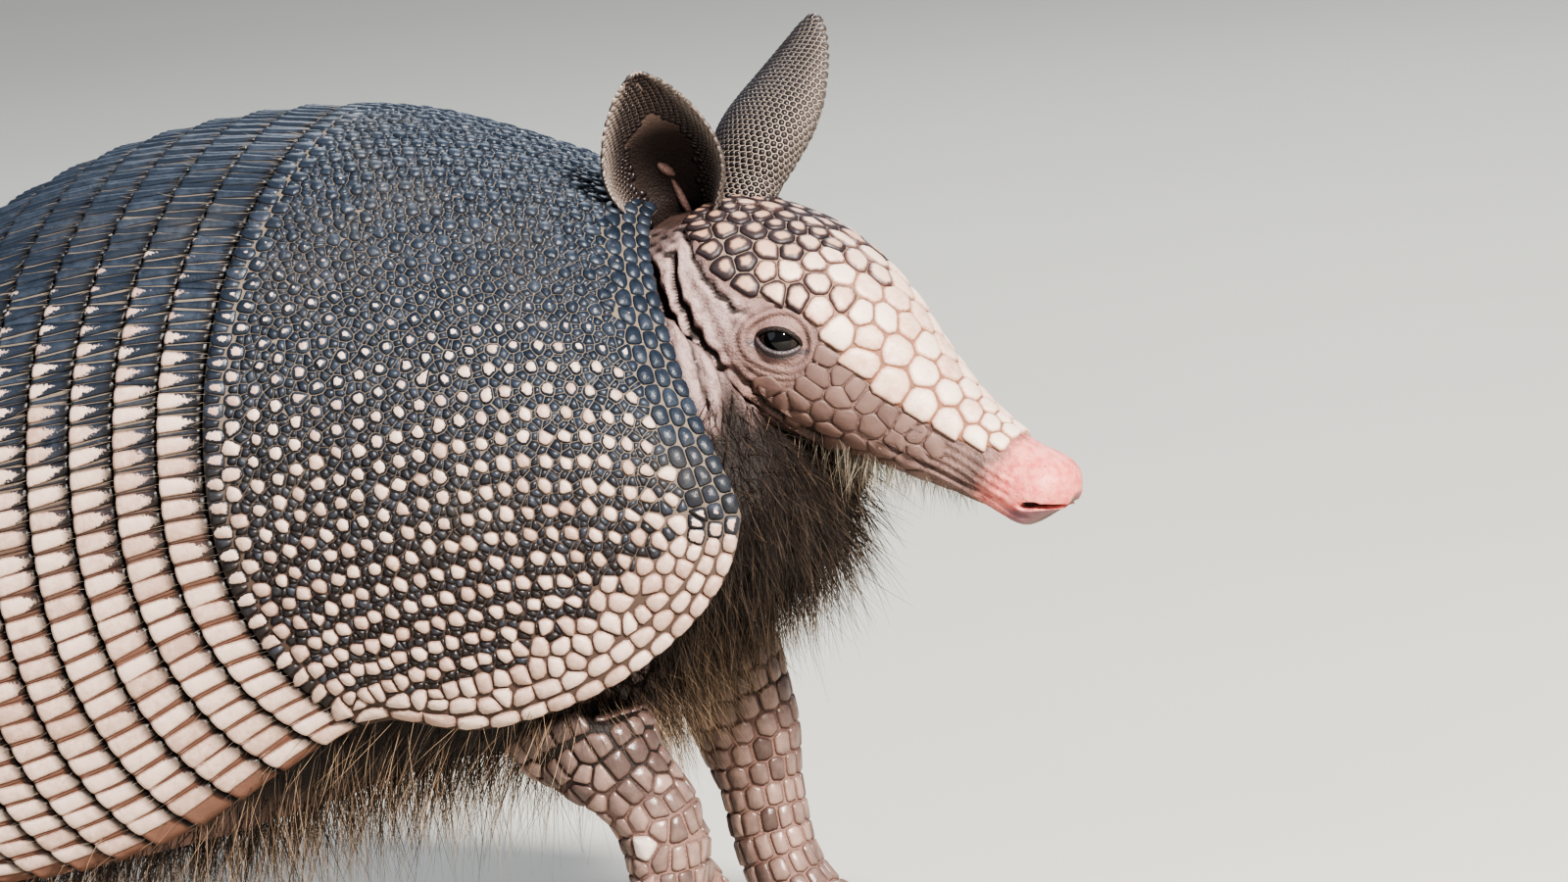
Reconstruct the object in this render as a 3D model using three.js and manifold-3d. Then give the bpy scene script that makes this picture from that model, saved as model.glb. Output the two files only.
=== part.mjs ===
// A life-size nine-banded armadillo standing on four feet, as solid pieces: the jointed shell,
// the scaled head, ears, limbs, claws and ringed tail, and the soft body between them.
// Units are millimetres. +X is forwards, +Y is the animal's left, +Z is up, and the floor is at z = 0.
import * as THREE from "three";
import { mergeVertices } from "three/addons/utils/BufferGeometryUtils.js";
import Module from "manifold-3d";

const wasm = await Module();
wasm.setup();

// ---------------------------------------------------------------- driving dimensions
const GAP = 0.4; // clearance between neighbouring pieces
const SHELL_THICKNESS = 2.6;
const BAND_COUNT = 9;
const BAND_PITCH = 97 / BAND_COUNT; // length of one movable band along the flank
const BAND_STEP = 1.1; // how far a band's front edge dips under the plate ahead of it
const SHOULDER_NAPE = 77; // length of the shoulder shield along the spine
const SHOULDER_FLANK = 115; // and along the flank, to its front corner
const SHOULDER_HEM = 22; // straight length of its lower edge
const PELVIS_END = -236; // rear end of the hip shield, above the tail
const HEAD_LENGTH = 104;
const HEAD_PITCH = THREE.MathUtils.degToRad(34); // the snout points down by this much
const HEAD_YAW = THREE.MathUtils.degToRad(-8); // and is turned this much to the animal's right
const HEAD_PIVOT = new THREE.Vector3(106.8, 0, 0);
const NOSE_TIP = new THREE.Vector3(175.7, 0, 108.2); // before the head is turned
const EYE_RADIUS = 4.9;
const EYE_PLACE = { along: 35.2, side: 20.2, up: -2.4 }; // in the head's own frame
const EAR_LENGTH = 43;
const EAR_THICKNESS = 1.7;

// The shell's cross sections, from front to rear. u is measured along the flank from the shoulder
// shield's rear edge. Each names the ridge of the back, the widest point of the flank and the lower
// margin.
const SHELL_STATIONS = [
  { u: 115, ridge: [121, 136.5], flank: [112, 58, 110], margin: [113.5, 49, 75] },
  { u: 80, ridge: [89, 170.3], flank: [78, 70, 115.5], margin: [84.5, 62, 71.5] },
  { u: 40, ridge: [51, 190.5], flank: [39, 75.5, 121.4], margin: [51, 66, 70.3] },
  { u: 0, ridge: [13.4, 199], flank: [0, 77.5, 126], margin: [26, 65.5, 73] },
  { u: -50, ridge: [-35.5, 194], flank: [-46, 78.5, 120], margin: [-20, 66, 50.7] },
  { u: -97, ridge: [-79, 176.5], flank: [-87, 77, 114], margin: [-60, 65, 43] },
  { u: -150, ridge: [-128, 154], flank: [-130, 69, 103], margin: [-106, 60, 48] },
  { u: -190, ridge: [-166, 132], flank: [-164, 54, 93], margin: [-147, 46, 58] },
  { u: -222, ridge: [-194, 108], flank: [-191, 34, 83], margin: [-181, 29, 65] },
  { u: -240, ridge: [-207, 92], flank: [-203, 22, 76], margin: [-196, 18, 63] },
];
const FLANK_SHARE = 0.65; // share of the half girth that lies above the widest point
const GIRTH_STEPS = 20; // facets around the shell, the same for every plate
const TRUNK_CLEARANCE = 1.2; // the trunk lies this much further inside the shell
const TRUNK_STEPS = 5; // facets of the trunk beneath each half of the shell
const SWEEP = 2.2; // how soon a plate's edge swings back from the ridge to its rearmost point on the flank
const TUCK = THREE.MathUtils.degToRad(65); // how far the lower flank curls under

// The belly hangs below the shell's margin by this much.
const BELLY_DROP = [
  { u: 80, drop: 10 },
  { u: 40, drop: 15 },
  { u: 0, drop: 20 },
  { u: -50, drop: 9 },
  { u: -97, drop: 6 },
  { u: -150, drop: 8 },
  { u: -190, drop: 8 },
  { u: -240, drop: 2 },
];

// The chest ahead of the shell's cross sections, out to its rounded front.
const CHEST = [
  { x: 118.5, top: 114, bottom: 99, half: 9 },
  { x: 116, top: 122, bottom: 93, half: 20 },
  { x: 110.5, top: 130, bottom: 89, half: 31 },
  { x: 101, top: 136, bottom: 85, half: 40 },
  { x: 88, top: 146, bottom: 78, half: 48 },
];

// Head profile in its own frame: distance from the occiput, crown height, throat height, half width.
const HEAD_STATIONS = [
  { along: -4, crown: 3, throat: -25, half: 21 },
  { along: 6, crown: 12, throat: -30, half: 26 },
  { along: 20, crown: 16.6, throat: -30, half: 27.2 },
  { along: 35, crown: 17.2, throat: -27, half: 25 },
  { along: 50, crown: 13.7, throat: -23.4, half: 19.6 },
  { along: 65, crown: 7, throat: -20.2, half: 14.6 },
  { along: 79, crown: 2.8, throat: -17.6, half: 10.9 },
  { along: 90, crown: 1.6, throat: -15.8, half: 9.4 },
  { along: 97, crown: 1.8, throat: -15.2, half: 9.6 },
  { along: 101.5, crown: 1.2, throat: -12.6, half: 7.8 },
  { along: 104.4, crown: -2, throat: -8, half: 3.4 },
];

// The scaled shield on the crown reaches this far round each side of the head, as an angle from the crown.
const HEAD_SHIELD_EDGE = [
  { along: 6, turn: 1.25 },
  { along: 18, turn: 1.25 },
  { along: 30, turn: 1.0 },
  { along: 42, turn: 1.0 },
  { along: 55, turn: 1.2 },
  { along: 68, turn: 1.3 },
  { along: 80, turn: 1.15 },
  { along: 87.5, turn: 0.7 },
];

// Half width of the ear's leaf from its root to its tip.
const EAR_LEAF = [
  { share: 0, half: 3.6 },
  { share: 0.15, half: 7.4 },
  { share: 0.3, half: 11 },
  { share: 0.47, half: 12.5 },
  { share: 0.65, half: 11 },
  { share: 0.8, half: 8.4 },
  { share: 0.92, half: 5 },
  { share: 1, half: 1.2 },
];
const HEAD_GIRTH_RADIUS = 16; // typical, for turning a length round the head into an angle
const HEAD_SHIELD_RISE = 1; // the shield stands this proud of the head
const HEAD_SHIELD_BED = 1.4; // and is let into it by this
const HEAD_RINGS = 13;
const HEAD_SIDES = 16;
const MOUTH = { start: 58, height: -12.4 }; // where the lower jaw parts from the snout
const NOSE_PAD = 89.5; // the bare nose starts here

// ---------------------------------------------------------------- curves and solids
// Smooth value of one column of a table that is sorted by its key, with the slopes of a Catmull-Rom curve.
function read(table, key, at, pick) {
  const rising = table[1][key] > table[0][key];
  let i = 0;
  while (i < table.length - 2 && (rising ? at > table[i + 1][key] : at < table[i + 1][key])) i++;
  const knot = (n) => table[THREE.MathUtils.clamp(n, 0, table.length - 1)];
  const slope = (n) => {
    const a = knot(n - 1);
    const b = knot(n + 1);
    return (pick(b) - pick(a)) / (b[key] - a[key]);
  };
  const span = knot(i + 1)[key] - knot(i)[key];
  const t = THREE.MathUtils.clamp((at - knot(i)[key]) / span, 0, 1);
  const t2 = t * t;
  const t3 = t2 * t;
  return (
    (2 * t3 - 3 * t2 + 1) * pick(knot(i)) +
    (t3 - 2 * t2 + t) * span * slope(i) +
    (3 * t2 - 2 * t3) * pick(knot(i + 1)) +
    (t3 - t2) * span * slope(i + 1)
  );
}

const mirror = (p) => new THREE.Vector3(p.x, -p.y, p.z);

function solidFrom(points, triangles) {
  const geometry = new THREE.BufferGeometry().setAttribute(
    "position",
    new THREE.BufferAttribute(new Float32Array(points.flatMap((p) => [p.x, p.y, p.z])), 3),
  );
  geometry.setIndex(triangles);
  const merged = mergeVertices(geometry, 1e-3);
  const made = new wasm.Manifold(
    new wasm.Mesh({
      numProp: 3,
      vertProperties: merged.attributes.position.array,
      triVerts: new Uint32Array(merged.index.array),
    }),
  );
  if (made.volume() > 0) return made;
  const flipped = new Uint32Array(merged.index.array);
  for (let i = 0; i < flipped.length; i += 3) {
    [flipped[i + 1], flipped[i + 2]] = [flipped[i + 2], flipped[i + 1]];
  }
  return new wasm.Manifold(
    new wasm.Mesh({ numProp: 3, vertProperties: merged.attributes.position.array, triVerts: flipped }),
  );
}

// A solid through closed rings of equal point counts, with a fan at each end.
function loft(rings) {
  const count = rings[0].length;
  const points = rings.flat();
  const triangles = [];
  for (let r = 0; r < rings.length - 1; r++) {
    for (let i = 0; i < count; i++) {
      const j = (i + 1) % count;
      const [a, b, c, d] = [r * count + i, r * count + j, (r + 1) * count + j, (r + 1) * count + i];
      triangles.push(a, b, c, a, c, d);
    }
  }
  const fan = (start, reversed) => {
    const centre = new THREE.Vector3();
    for (let i = 0; i < count; i++) centre.add(points[start + i]);
    points.push(centre.divideScalar(count));
    for (let i = 0; i < count; i++) {
      const j = (i + 1) % count;
      if (reversed) triangles.push(points.length - 1, start + i, start + j);
      else triangles.push(points.length - 1, start + j, start + i);
    }
  };
  fan(0, false);
  fan((rings.length - 1) * count, true);
  return solidFrom(points, triangles);
}

// A thin plate over a surface. place(a, b) is its point for a and b from 0 to 1, and lift(a) gives
// its outer and inner offset from there.
function plate(place, normal, acrossA, acrossB, lift) {
  const points = [];
  const triangles = [];
  const index = (side, a, b) => side * (acrossA + 1) * (acrossB + 1) + a * (acrossB + 1) + b;
  for (const side of [0, 1]) {
    for (let a = 0; a <= acrossA; a++) {
      for (let b = 0; b <= acrossB; b++) {
        const [s, t] = [a / acrossA, b / acrossB];
        points.push(place(s, t).addScaledVector(normal(s, t), lift(s)[side]));
      }
    }
  }
  const quad = (p, q, r, s) => triangles.push(p, q, r, p, r, s);
  for (let a = 0; a < acrossA; a++) {
    for (let b = 0; b < acrossB; b++) {
      quad(index(0, a, b), index(0, a, b + 1), index(0, a + 1, b + 1), index(0, a + 1, b));
      quad(index(1, a, b), index(1, a + 1, b), index(1, a + 1, b + 1), index(1, a, b + 1));
    }
  }
  for (let b = 0; b < acrossB; b++) {
    quad(index(0, 0, b), index(1, 0, b), index(1, 0, b + 1), index(0, 0, b + 1));
    quad(index(0, acrossA, b), index(0, acrossA, b + 1), index(1, acrossA, b + 1), index(1, acrossA, b));
  }
  for (let a = 0; a < acrossA; a++) {
    quad(index(0, a, 0), index(0, a + 1, 0), index(1, a + 1, 0), index(1, a, 0));
    quad(index(0, a, acrossB), index(1, a, acrossB), index(1, a + 1, acrossB), index(0, a + 1, acrossB));
  }
  return solidFrom(points, triangles);
}

// A limb, toe, claw or tail: round sections of given half widths along a path of stations
// [x, y, z, across, deep].
function tube(stations, sides, grow = 0) {
  const centres = stations.map(([x, y, z]) => new THREE.Vector3(x, y, z));
  const rings = stations.map(([, , , across, deep = across], i) => {
    const ahead = centres[Math.min(i + 1, centres.length - 1)];
    const along = ahead.clone().sub(centres[Math.max(i - 1, 0)]).normalize();
    const lateral = new THREE.Vector3(0, 1, 0).addScaledVector(along, -along.y).normalize();
    const up = along.clone().cross(lateral);
    return Array.from({ length: sides }, (_, k) => {
      const angle = (2 * Math.PI * (k + 0.5)) / sides;
      return centres[i]
        .clone()
        .addScaledVector(lateral, (across + grow) * Math.cos(angle))
        .addScaledVector(up, (deep + grow) * Math.sin(angle));
    });
  });
  if (grow) {
    const reach = (from, to) => from.clone().sub(to).normalize().multiplyScalar(grow);
    const head = reach(centres[0], centres[1]);
    const tail = reach(centres.at(-1), centres.at(-2));
    rings[0] = rings[0].map((p) => p.add(head));
    rings.push(rings.pop().map((p) => p.add(tail)));
  }
  return loft(rings);
}

function solidOfGeometry(geometry) {
  const bare = geometry.clone();
  bare.deleteAttribute("normal");
  bare.deleteAttribute("uv");
  const merged = mergeVertices(bare, 1e-3);
  const { array } = merged.attributes.position;
  const points = [];
  for (let i = 0; i < array.length; i += 3) points.push(new THREE.Vector3().fromArray(array, i));
  return solidFrom(points, Array.from(merged.index.array));
}

const FLOOR = solidOfGeometry(new THREE.BoxGeometry(1400, 600, 60).translate(0, 0, -30));

// ---------------------------------------------------------------- the shell's surface
function shellPoint(u, q) {
  const at = (pick) => read(SHELL_STATIONS, "u", u, pick);
  const side = Math.abs(q);
  const flank = [at((s) => s.flank[0]), at((s) => s.flank[1]), at((s) => s.flank[2])];
  let x;
  let y;
  let z;
  if (side <= FLANK_SHARE) {
    const angle = (side / FLANK_SHARE) * (Math.PI / 2);
    x = flank[0] + (at((s) => s.ridge[0]) - flank[0]) * Math.max(0, Math.cos(angle)) ** SWEEP;
    y = flank[1] * Math.sin(angle) ** 0.94;
    z = flank[2] + (at((s) => s.ridge[1]) - flank[2]) * Math.cos(angle) ** 0.94;
  } else {
    const angle = ((side - FLANK_SHARE) / (1 - FLANK_SHARE)) * TUCK;
    const inward = (1 - Math.cos(angle)) / (1 - Math.cos(TUCK));
    x = flank[0] + (at((s) => s.margin[0]) - flank[0]) * inward;
    y = flank[1] + (at((s) => s.margin[1]) - flank[1]) * inward;
    z = flank[2] + ((at((s) => s.margin[2]) - flank[2]) * Math.sin(angle)) / Math.sin(TUCK);
  }
  return new THREE.Vector3(x, Math.sign(q) * y, z);
}

function shellNormal(u, q) {
  const step = 0.02;
  const along = shellPoint(u + 1, q).sub(shellPoint(u - 1, q));
  const a = THREE.MathUtils.clamp(q + step, -1, 1);
  const b = THREE.MathUtils.clamp(q - step, -1, 1);
  return along.cross(shellPoint(u, b).sub(shellPoint(u, a))).normalize().negate();
}

// How far forwards the shoulder shield reaches at girth share q: a slanting front edge and a rounded
// lower corner.
function shoulderReach(q) {
  const turn = 0.62;
  const side = Math.abs(q);
  if (side < turn) return SHOULDER_NAPE + (SHOULDER_FLANK - SHOULDER_NAPE) * (side / turn) ** 1.25;
  const down = (side - turn) / (1 - turn);
  return SHOULDER_HEM + (SHOULDER_FLANK - SHOULDER_HEM) * Math.sqrt(1 - down * down);
}

// How far back the hip shield reaches: shorter towards its lower corners.
const pelvisReach = (q) => PELVIS_END + 46 * Math.abs(q) ** 5;

function shellPlate(uAt, acrossA, acrossB, lift) {
  const place = (a, b) => shellPoint(uAt(a, 2 * b - 1), 2 * b - 1);
  const normal = (a, b) => shellNormal(uAt(a, 2 * b - 1), 2 * b - 1);
  return plate(place, normal, acrossA, acrossB, lift);
}

function makeShoulderShield() {
  const uAt = (a, q) => GAP / 2 + (shoulderReach(q) - GAP / 2) * a;
  return shellPlate(uAt, 7, GIRTH_STEPS, () => [0, -SHELL_THICKNESS]);
}

function makeBand(n) {
  const front = -n * BAND_PITCH - GAP / 2;
  const rear = -(n + 1) * BAND_PITCH + GAP / 2;
  const lift = (a) => [-BAND_STEP * (1 - a), -SHELL_THICKNESS];
  return shellPlate((a) => front + (rear - front) * a, 1, GIRTH_STEPS, lift);
}

function makePelvicShield() {
  const front = -BAND_COUNT * BAND_PITCH - GAP / 2;
  const uAt = (a, q) => front + (pelvisReach(q) - front) * a;
  const lift = (a) => [-BAND_STEP * Math.max(0, 1 - 7 * a), -SHELL_THICKNESS];
  return shellPlate(uAt, 6, GIRTH_STEPS, lift);
}

// ---------------------------------------------------------------- trunk and neck
// One closed ring at u: inside the shell above by inset, and below its margin the belly, hanging by drop.
function trunkRing(u, inset, steps, drop = read(BELLY_DROP, "u", u, (s) => s.drop)) {
  const half = [];
  for (let i = 0; i <= steps; i++) {
    half.push(shellPoint(u, i / steps).addScaledVector(shellNormal(u, i / steps), -inset));
  }
  const hem = half.at(-1);
  for (const angle of [35, 65, 90].map(THREE.MathUtils.degToRad)) {
    half.push(new THREE.Vector3(hem.x, hem.y * Math.cos(angle), hem.z - drop * Math.sin(angle)));
  }
  half[0].y = 0;
  half.at(-1).y = 0;
  return [...half, ...half.slice(1, -1).reverse().map(mirror)];
}

// One ring of the chest, a rounded section from the throat round to the breastbone.
function chestRing({ x, top, bottom, half }, grow) {
  const middle = (top + bottom) / 2;
  const side = [];
  for (let i = 0; i <= TRUNK_STEPS + 3; i++) {
    const angle = (Math.PI * i) / (TRUNK_STEPS + 3);
    const up = (middle - bottom + grow) * Math.cos(angle);
    side.push(new THREE.Vector3(x + grow, (half + grow) * Math.sin(angle), middle + up));
  }
  side[0].y = 0;
  side.at(-1).y = 0;
  return [...side, ...side.slice(1, -1).reverse().map(mirror)];
}

// The trunk narrows to a rounded chest in front and to the tail's root behind.
function trunk(grow = 0) {
  const inset = SHELL_THICKNESS + GAP + TRUNK_CLEARANCE - grow;
  const rings = CHEST.map((section) => chestRing(section, grow));
  for (const u of [66, 42, 20, 0, -25, -50, -80, -115, -150, -185, -224]) {
    rings.push(trunkRing(u, inset, TRUNK_STEPS));
  }
  return loft(rings);
}

// Everything inside the shell's outer face, closed below its margin: what the limbs are cut back from.
function shellBulk() {
  const rings = [];
  for (const u of [112, 96, 76, 55, 28, 0, -28, -56, -84, -112, -140, -166, -190, -214, -236]) {
    rings.push(trunkRing(u, -GAP - 0.3, GIRTH_STEPS / 2, 0.5));
  }
  return loft(rings);
}

function neck(grow = 0) {
  const stations = [
    [70, 0, 124, 42, 40],
    [83, 0.6, 133, 37, 35],
    [93, 1.2, 143, 31, 31],
    [100, 1.6, 150, 25, 26],
  ];
  return tube(stations, 14, grow);
}

// ---------------------------------------------------------------- head
const yawed = (v) => v.applyAxisAngle(new THREE.Vector3(0, 0, 1), HEAD_YAW);
const HEAD_AHEAD = yawed(new THREE.Vector3(Math.cos(HEAD_PITCH), 0, -Math.sin(HEAD_PITCH)));
const HEAD_UP = yawed(new THREE.Vector3(Math.sin(HEAD_PITCH), 0, Math.cos(HEAD_PITCH)));
const HEAD_LEFT = yawed(new THREE.Vector3(0, 1, 0));
const turned = (v) => yawed(v.sub(HEAD_PIVOT)).add(HEAD_PIVOT);
const OCCIPUT = turned(NOSE_TIP.clone()).addScaledVector(HEAD_AHEAD, -HEAD_LENGTH);

const headPlace = (along, side, up) =>
  OCCIPUT.clone()
    .addScaledVector(HEAD_AHEAD, along)
    .addScaledVector(HEAD_LEFT, side)
    .addScaledVector(HEAD_UP, up);

// A point on the head: turn is 0 on the crown, pi on the throat, and grows towards the animal's left.
function headPoint(along, turn, grow = 0) {
  const at = (name) => read(HEAD_STATIONS, "along", along, (s) => s[name]);
  const [crown, throat, half] = [at("crown"), at("throat"), at("half")];
  const middle = throat + (crown - throat) * 0.46;
  const reach = Math.cos(turn) > 0 ? crown - middle : middle - throat;
  const up = Math.sign(Math.cos(turn)) * Math.abs(Math.cos(turn)) ** 0.9 * (reach + grow);
  const side = Math.sign(Math.sin(turn)) * Math.abs(Math.sin(turn)) ** 0.95 * (half + grow);
  return headPlace(along, side, middle + up);
}

function headSolid(grow = 0) {
  const first = HEAD_STATIONS[0].along;
  const last = HEAD_STATIONS.at(-1).along;
  const rings = [];
  for (let i = 0; i <= HEAD_RINGS; i++) {
    const share = i / HEAD_RINGS;
    const along = first + (last - first) * (1 - (1 - share) ** 1.35);
    const stretch = i === 0 ? -grow : i === HEAD_RINGS ? grow : 0;
    rings.push(
      Array.from({ length: HEAD_SIDES }, (_, k) =>
        headPoint(along, (2 * Math.PI * k) / HEAD_SIDES, grow).addScaledVector(HEAD_AHEAD, stretch),
      ),
    );
  }
  return loft(rings);
}

// A block in the head's own frame, for parting the jaw and the nose from the head.
function headBlock(low, high) {
  const size = [high[0] - low[0], high[1] - low[1], high[2] - low[2]];
  const box = new THREE.BoxGeometry(...size);
  box.translate((low[0] + high[0]) / 2, (low[1] + high[1]) / 2, (low[2] + high[2]) / 2);
  box.applyMatrix4(new THREE.Matrix4().makeBasis(HEAD_AHEAD, HEAD_LEFT, HEAD_UP).setPosition(OCCIPUT));
  return solidOfGeometry(box);
}

// The shield over the crown. margin widens it all round, for cutting its bed in the head.
function headShield(outer, inner, margin = 0) {
  const front = HEAD_SHIELD_EDGE.at(-1).along + margin;
  const rear = HEAD_SHIELD_EDGE[0].along - margin;
  const alongAt = (a) => rear + (front - rear) * a;
  const edge = (a) => read(HEAD_SHIELD_EDGE, "along", alongAt(a), (s) => s.turn) + margin / HEAD_GIRTH_RADIUS;
  const turnAt = (a, b) => (2 * b - 1) * edge(a);
  const place = (a, b) => headPoint(alongAt(a), turnAt(a, b));
  const normal = (a, b) => {
    const ahead = headPoint(alongAt(a) + 1, turnAt(a, b)).sub(headPoint(alongAt(a) - 1, turnAt(a, b)));
    const around = headPoint(alongAt(a), turnAt(a, b) + 0.05).sub(headPoint(alongAt(a), turnAt(a, b) - 0.05));
    return around.cross(ahead).normalize().negate();
  };
  return plate(place, normal, 8, 8, () => [outer, inner]);
}

// ---------------------------------------------------------------- ears and eyes
// One ear is a cupped leaf on a rolled stem. lean is its outward slant, ahead its forward slant, and turn the
// heading of its opening, all before the head is turned.
function makeEar(side, { root, lean, ahead, turn }) {
  const up = yawed(new THREE.Vector3(ahead, side * lean, 1).normalize());
  const open = yawed(new THREE.Vector3(Math.cos(turn), side * Math.sin(turn), 0));
  open.addScaledVector(up, -open.dot(up)).normalize();
  const across = up.clone().cross(open).multiplyScalar(side);
  const foot = turned(new THREE.Vector3(...root));
  const place = (a, b) => {
    const half = read(EAR_LEAF, "share", a, (s) => s.half);
    // Half angle that the cup wraps through, from the rolled stem to the open tip.
    const wrap = THREE.MathUtils.lerp(2.2, 0.8, Math.min(1, a * 1.15));
    const angle = (2 * b - 1) * wrap;
    const radius = half / Math.sin(Math.min(wrap, Math.PI / 2));
    return foot
      .clone()
      .addScaledVector(up, EAR_LENGTH * a)
      .addScaledVector(across, radius * Math.sin(angle))
      .addScaledVector(open, radius * (Math.cos(wrap) - Math.cos(angle)) * 0.8);
  };
  const normal = (a, b) => {
    const step = 0.02;
    const clamp = (v) => THREE.MathUtils.clamp(v, 0, 1);
    const along = place(clamp(a + step), b).sub(place(clamp(a - step), b));
    const around = place(a, clamp(b + step)).sub(place(a, clamp(b - step)));
    return along.cross(around).normalize();
  };
  return plate(place, normal, 7, 6, () => [EAR_THICKNESS / 2, -EAR_THICKNESS / 2]);
}

function eyeBall(side, grow = 0) {
  const ball = new THREE.SphereGeometry(EYE_RADIUS + grow, 8, 6);
  const centre = headPlace(EYE_PLACE.along, side * EYE_PLACE.side, EYE_PLACE.up);
  return solidOfGeometry(ball.translate(centre.x, centre.y, centre.z));
}

// ---------------------------------------------------------------- limbs
// Each limb runs from inside the body to its wrist or ankle: [x, y, z, half width across, half width deep].
const FORELEGS = {
  right: [
    [74, -38, 98, 15, 20],
    [68, -45, 80, 14, 17],
    [70.5, -49, 67.5, 13.5, 15.5],
    [76, -50, 57.5, 11.8, 12.3],
    [82, -49, 50.5, 10.4, 10.2],
    [85.5, -48, 44, 10.2, 10],
  ],
  left: [
    [72, 36, 100, 14, 17],
    [76, 41, 66, 13.5, 13.5],
    [79.5, 43, 48, 12, 12],
    [81.2, 43, 36.5, 9.6, 9.4],
    [82.6, 42, 24.5, 9.4, 9.2],
  ],
};
const HINDLEGS = {
  right: [
    [-108, -42, 92, 17, 27],
    [-100, -51, 64, 15, 21],
    [-110, -52, 44, 11.5, 14],
    [-126, -50, 22, 9.5, 11],
  ],
  left: [
    [-92, 42, 92, 17, 27],
    [-83, 51, 64, 15, 21],
    [-93, 52, 44, 11.5, 14],
    [-109, 50, 22, 9.5, 11],
  ],
};

// A foot hangs from its wrist or ankle. The sole is a tube and each toe runs from base to tip; offsets are
// [ahead, towards the body, up].
const LEG_SIDES = 10;
const HIND_SOLE = [
  [-9, 0, -7, 6, 6],
  [-4, 0, -9, 10, 11.5],
  [11, 0, -11, 10.5, 10],
  [26, 0, -13, 12, 8],
  [40, 0, -15, 13, 6.2],
];
const HIND_TOES = [
  { base: [33, -13, -13], tip: [42, -15.5, -16], radius: 4.4, claw: 9 },
  { base: [41, -7.4, -13], tip: [54, -9, -15.4], radius: 5.1, claw: 16 },
  { base: [42, 0, -13], tip: [57, 0, -15.4], radius: 5.3, claw: 18 },
  { base: [41, 7.4, -13], tip: [53, 9, -15.4], radius: 5.1, claw: 16 },
  { base: [32, 12.5, -13], tip: [39, 15, -16], radius: 4.3, claw: 8 },
];
const FEET = {
  forefoot_right: {
    wrist: [85.5, -48, 43.5],
    outward: -1,
    sole: [
      [0, 0, 0, 10.2, 10],
      [-0.5, 0, -8, 11, 8.8],
      [0, 0, -16, 10.8, 7],
    ],
    toes: [
      { base: [-2, -8.5, -13], tip: [-1, -10.5, -21], radius: 4.4, claw: 23 },
      { base: [1, -3.6, -15], tip: [4, -4.2, -23], radius: 4.9, claw: 22 },
      { base: [2, 3, -15], tip: [5, 3.6, -23], radius: 4.7, claw: 22 },
      { base: [4, 8, -9], tip: [8.5, 9.5, -16], radius: 3.6, claw: 29 },
    ],
  },
  forefoot_left: {
    wrist: [82.6, 42, 24],
    outward: 1,
    sole: [
      [0, 0, 0, 9.3, 9.2],
      [3, 0, -9, 10.8, 9],
      [9, 0, -16, 11.6, 8],
      [16, 0, -19, 11.8, 6.4],
    ],
    toes: [
      { base: [5, -9.5, -16], tip: [12, -12.5, -19.6], radius: 4.5, claw: 13 },
      { base: [13, -4.6, -17], tip: [24, -5.6, -19.2], radius: 5.1, claw: 22 },
      { base: [13, 3.4, -17], tip: [24, 4.4, -19.2], radius: 5.1, claw: 21 },
      { base: [9, 8.8, -17], tip: [17, 12, -20], radius: 4.1, claw: 12 },
    ],
  },
  hindfoot_right: { wrist: [-127, -49.8, 20.3], outward: -1, sole: HIND_SOLE, toes: HIND_TOES },
  hindfoot_left: { wrist: [-110, 49.8, 20.3], outward: 1, sole: HIND_SOLE, toes: HIND_TOES },
};

function footPlace({ wrist, outward }, [x, y, z]) {
  return [wrist[0] + x, wrist[1] - outward * y, wrist[2] + z];
}

function footSolid(foot, grow = 0) {
  const sole = foot.sole.map(([x, y, z, across, deep]) => [...footPlace(foot, [x, y, z]), across, deep]);
  let made = tube(sole, 8, grow);
  for (const toe of foot.toes) {
    const base = footPlace(foot, toe.base);
    const tip = footPlace(foot, toe.tip);
    made = made.add(tube([[...base, toe.radius], [...tip, toe.radius * 0.86]], 6, grow));
  }
  return made;
}

// A claw curves on from its toe down to the floor.
function makeClaw(foot, toe) {
  const tip = footPlace(foot, toe.tip);
  const heading = new THREE.Vector3(...tip).sub(new THREE.Vector3(...footPlace(foot, toe.base))).normalize();
  const fall = tip[2] + 0.6;
  const ahead = Math.sqrt(Math.max(toe.claw ** 2 - fall ** 2, (0.3 * toe.claw) ** 2));
  const stations = [-0.1, 0.5, 1].map((share) => [
    tip[0] + ahead * share,
    tip[1] + heading.y * 0.6 * toe.claw * share,
    tip[2] - fall * Math.max(0, share) ** 1.25,
    toe.radius * 0.6 * (1 - 0.8 * Math.max(0, share) ** 1.4),
    toe.radius * 0.56 * (1 - 0.76 * Math.max(0, share) ** 1.6),
  ]);
  return tube(stations, 5);
}

// ---------------------------------------------------------------- tail
const TAIL_PATH = new THREE.CatmullRomCurve3(
  [
    [-178, 0, 81],
    [-205, 0, 68],
    [-240, -3, 45],
    [-285, -10, 24],
    [-345, -18, 10.5],
    [-420, -14, 7.5],
    [-500, 4, 3.8],
    [-535, 13, 1.4],
  ].map((p) => new THREE.Vector3(...p)),
  false,
  "centripetal",
);
const TAIL_ROOT_RADIUS = 19;
const TAIL_RING_STEP = 0.9; // each ring flares by this over the next one's front
const TAIL_PLAIN_STEPS = 4;
const TAIL_LENGTHS = [
  { name: "tail_root", from: 0, to: 0.26, rings: 6, sides: 14 },
  { name: "tail_middle", from: 0.26, to: 0.5, rings: 6, sides: 12 },
  { name: "tail_end", from: 0.5, to: 0.76, rings: 0, sides: 10 },
  { name: "tail_tip", from: 0.76, to: 1, rings: 0, sides: 8 },
];

const tailRadius = (t) => TAIL_ROOT_RADIUS * (1 - t) ** 0.86 + 1.1;

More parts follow.
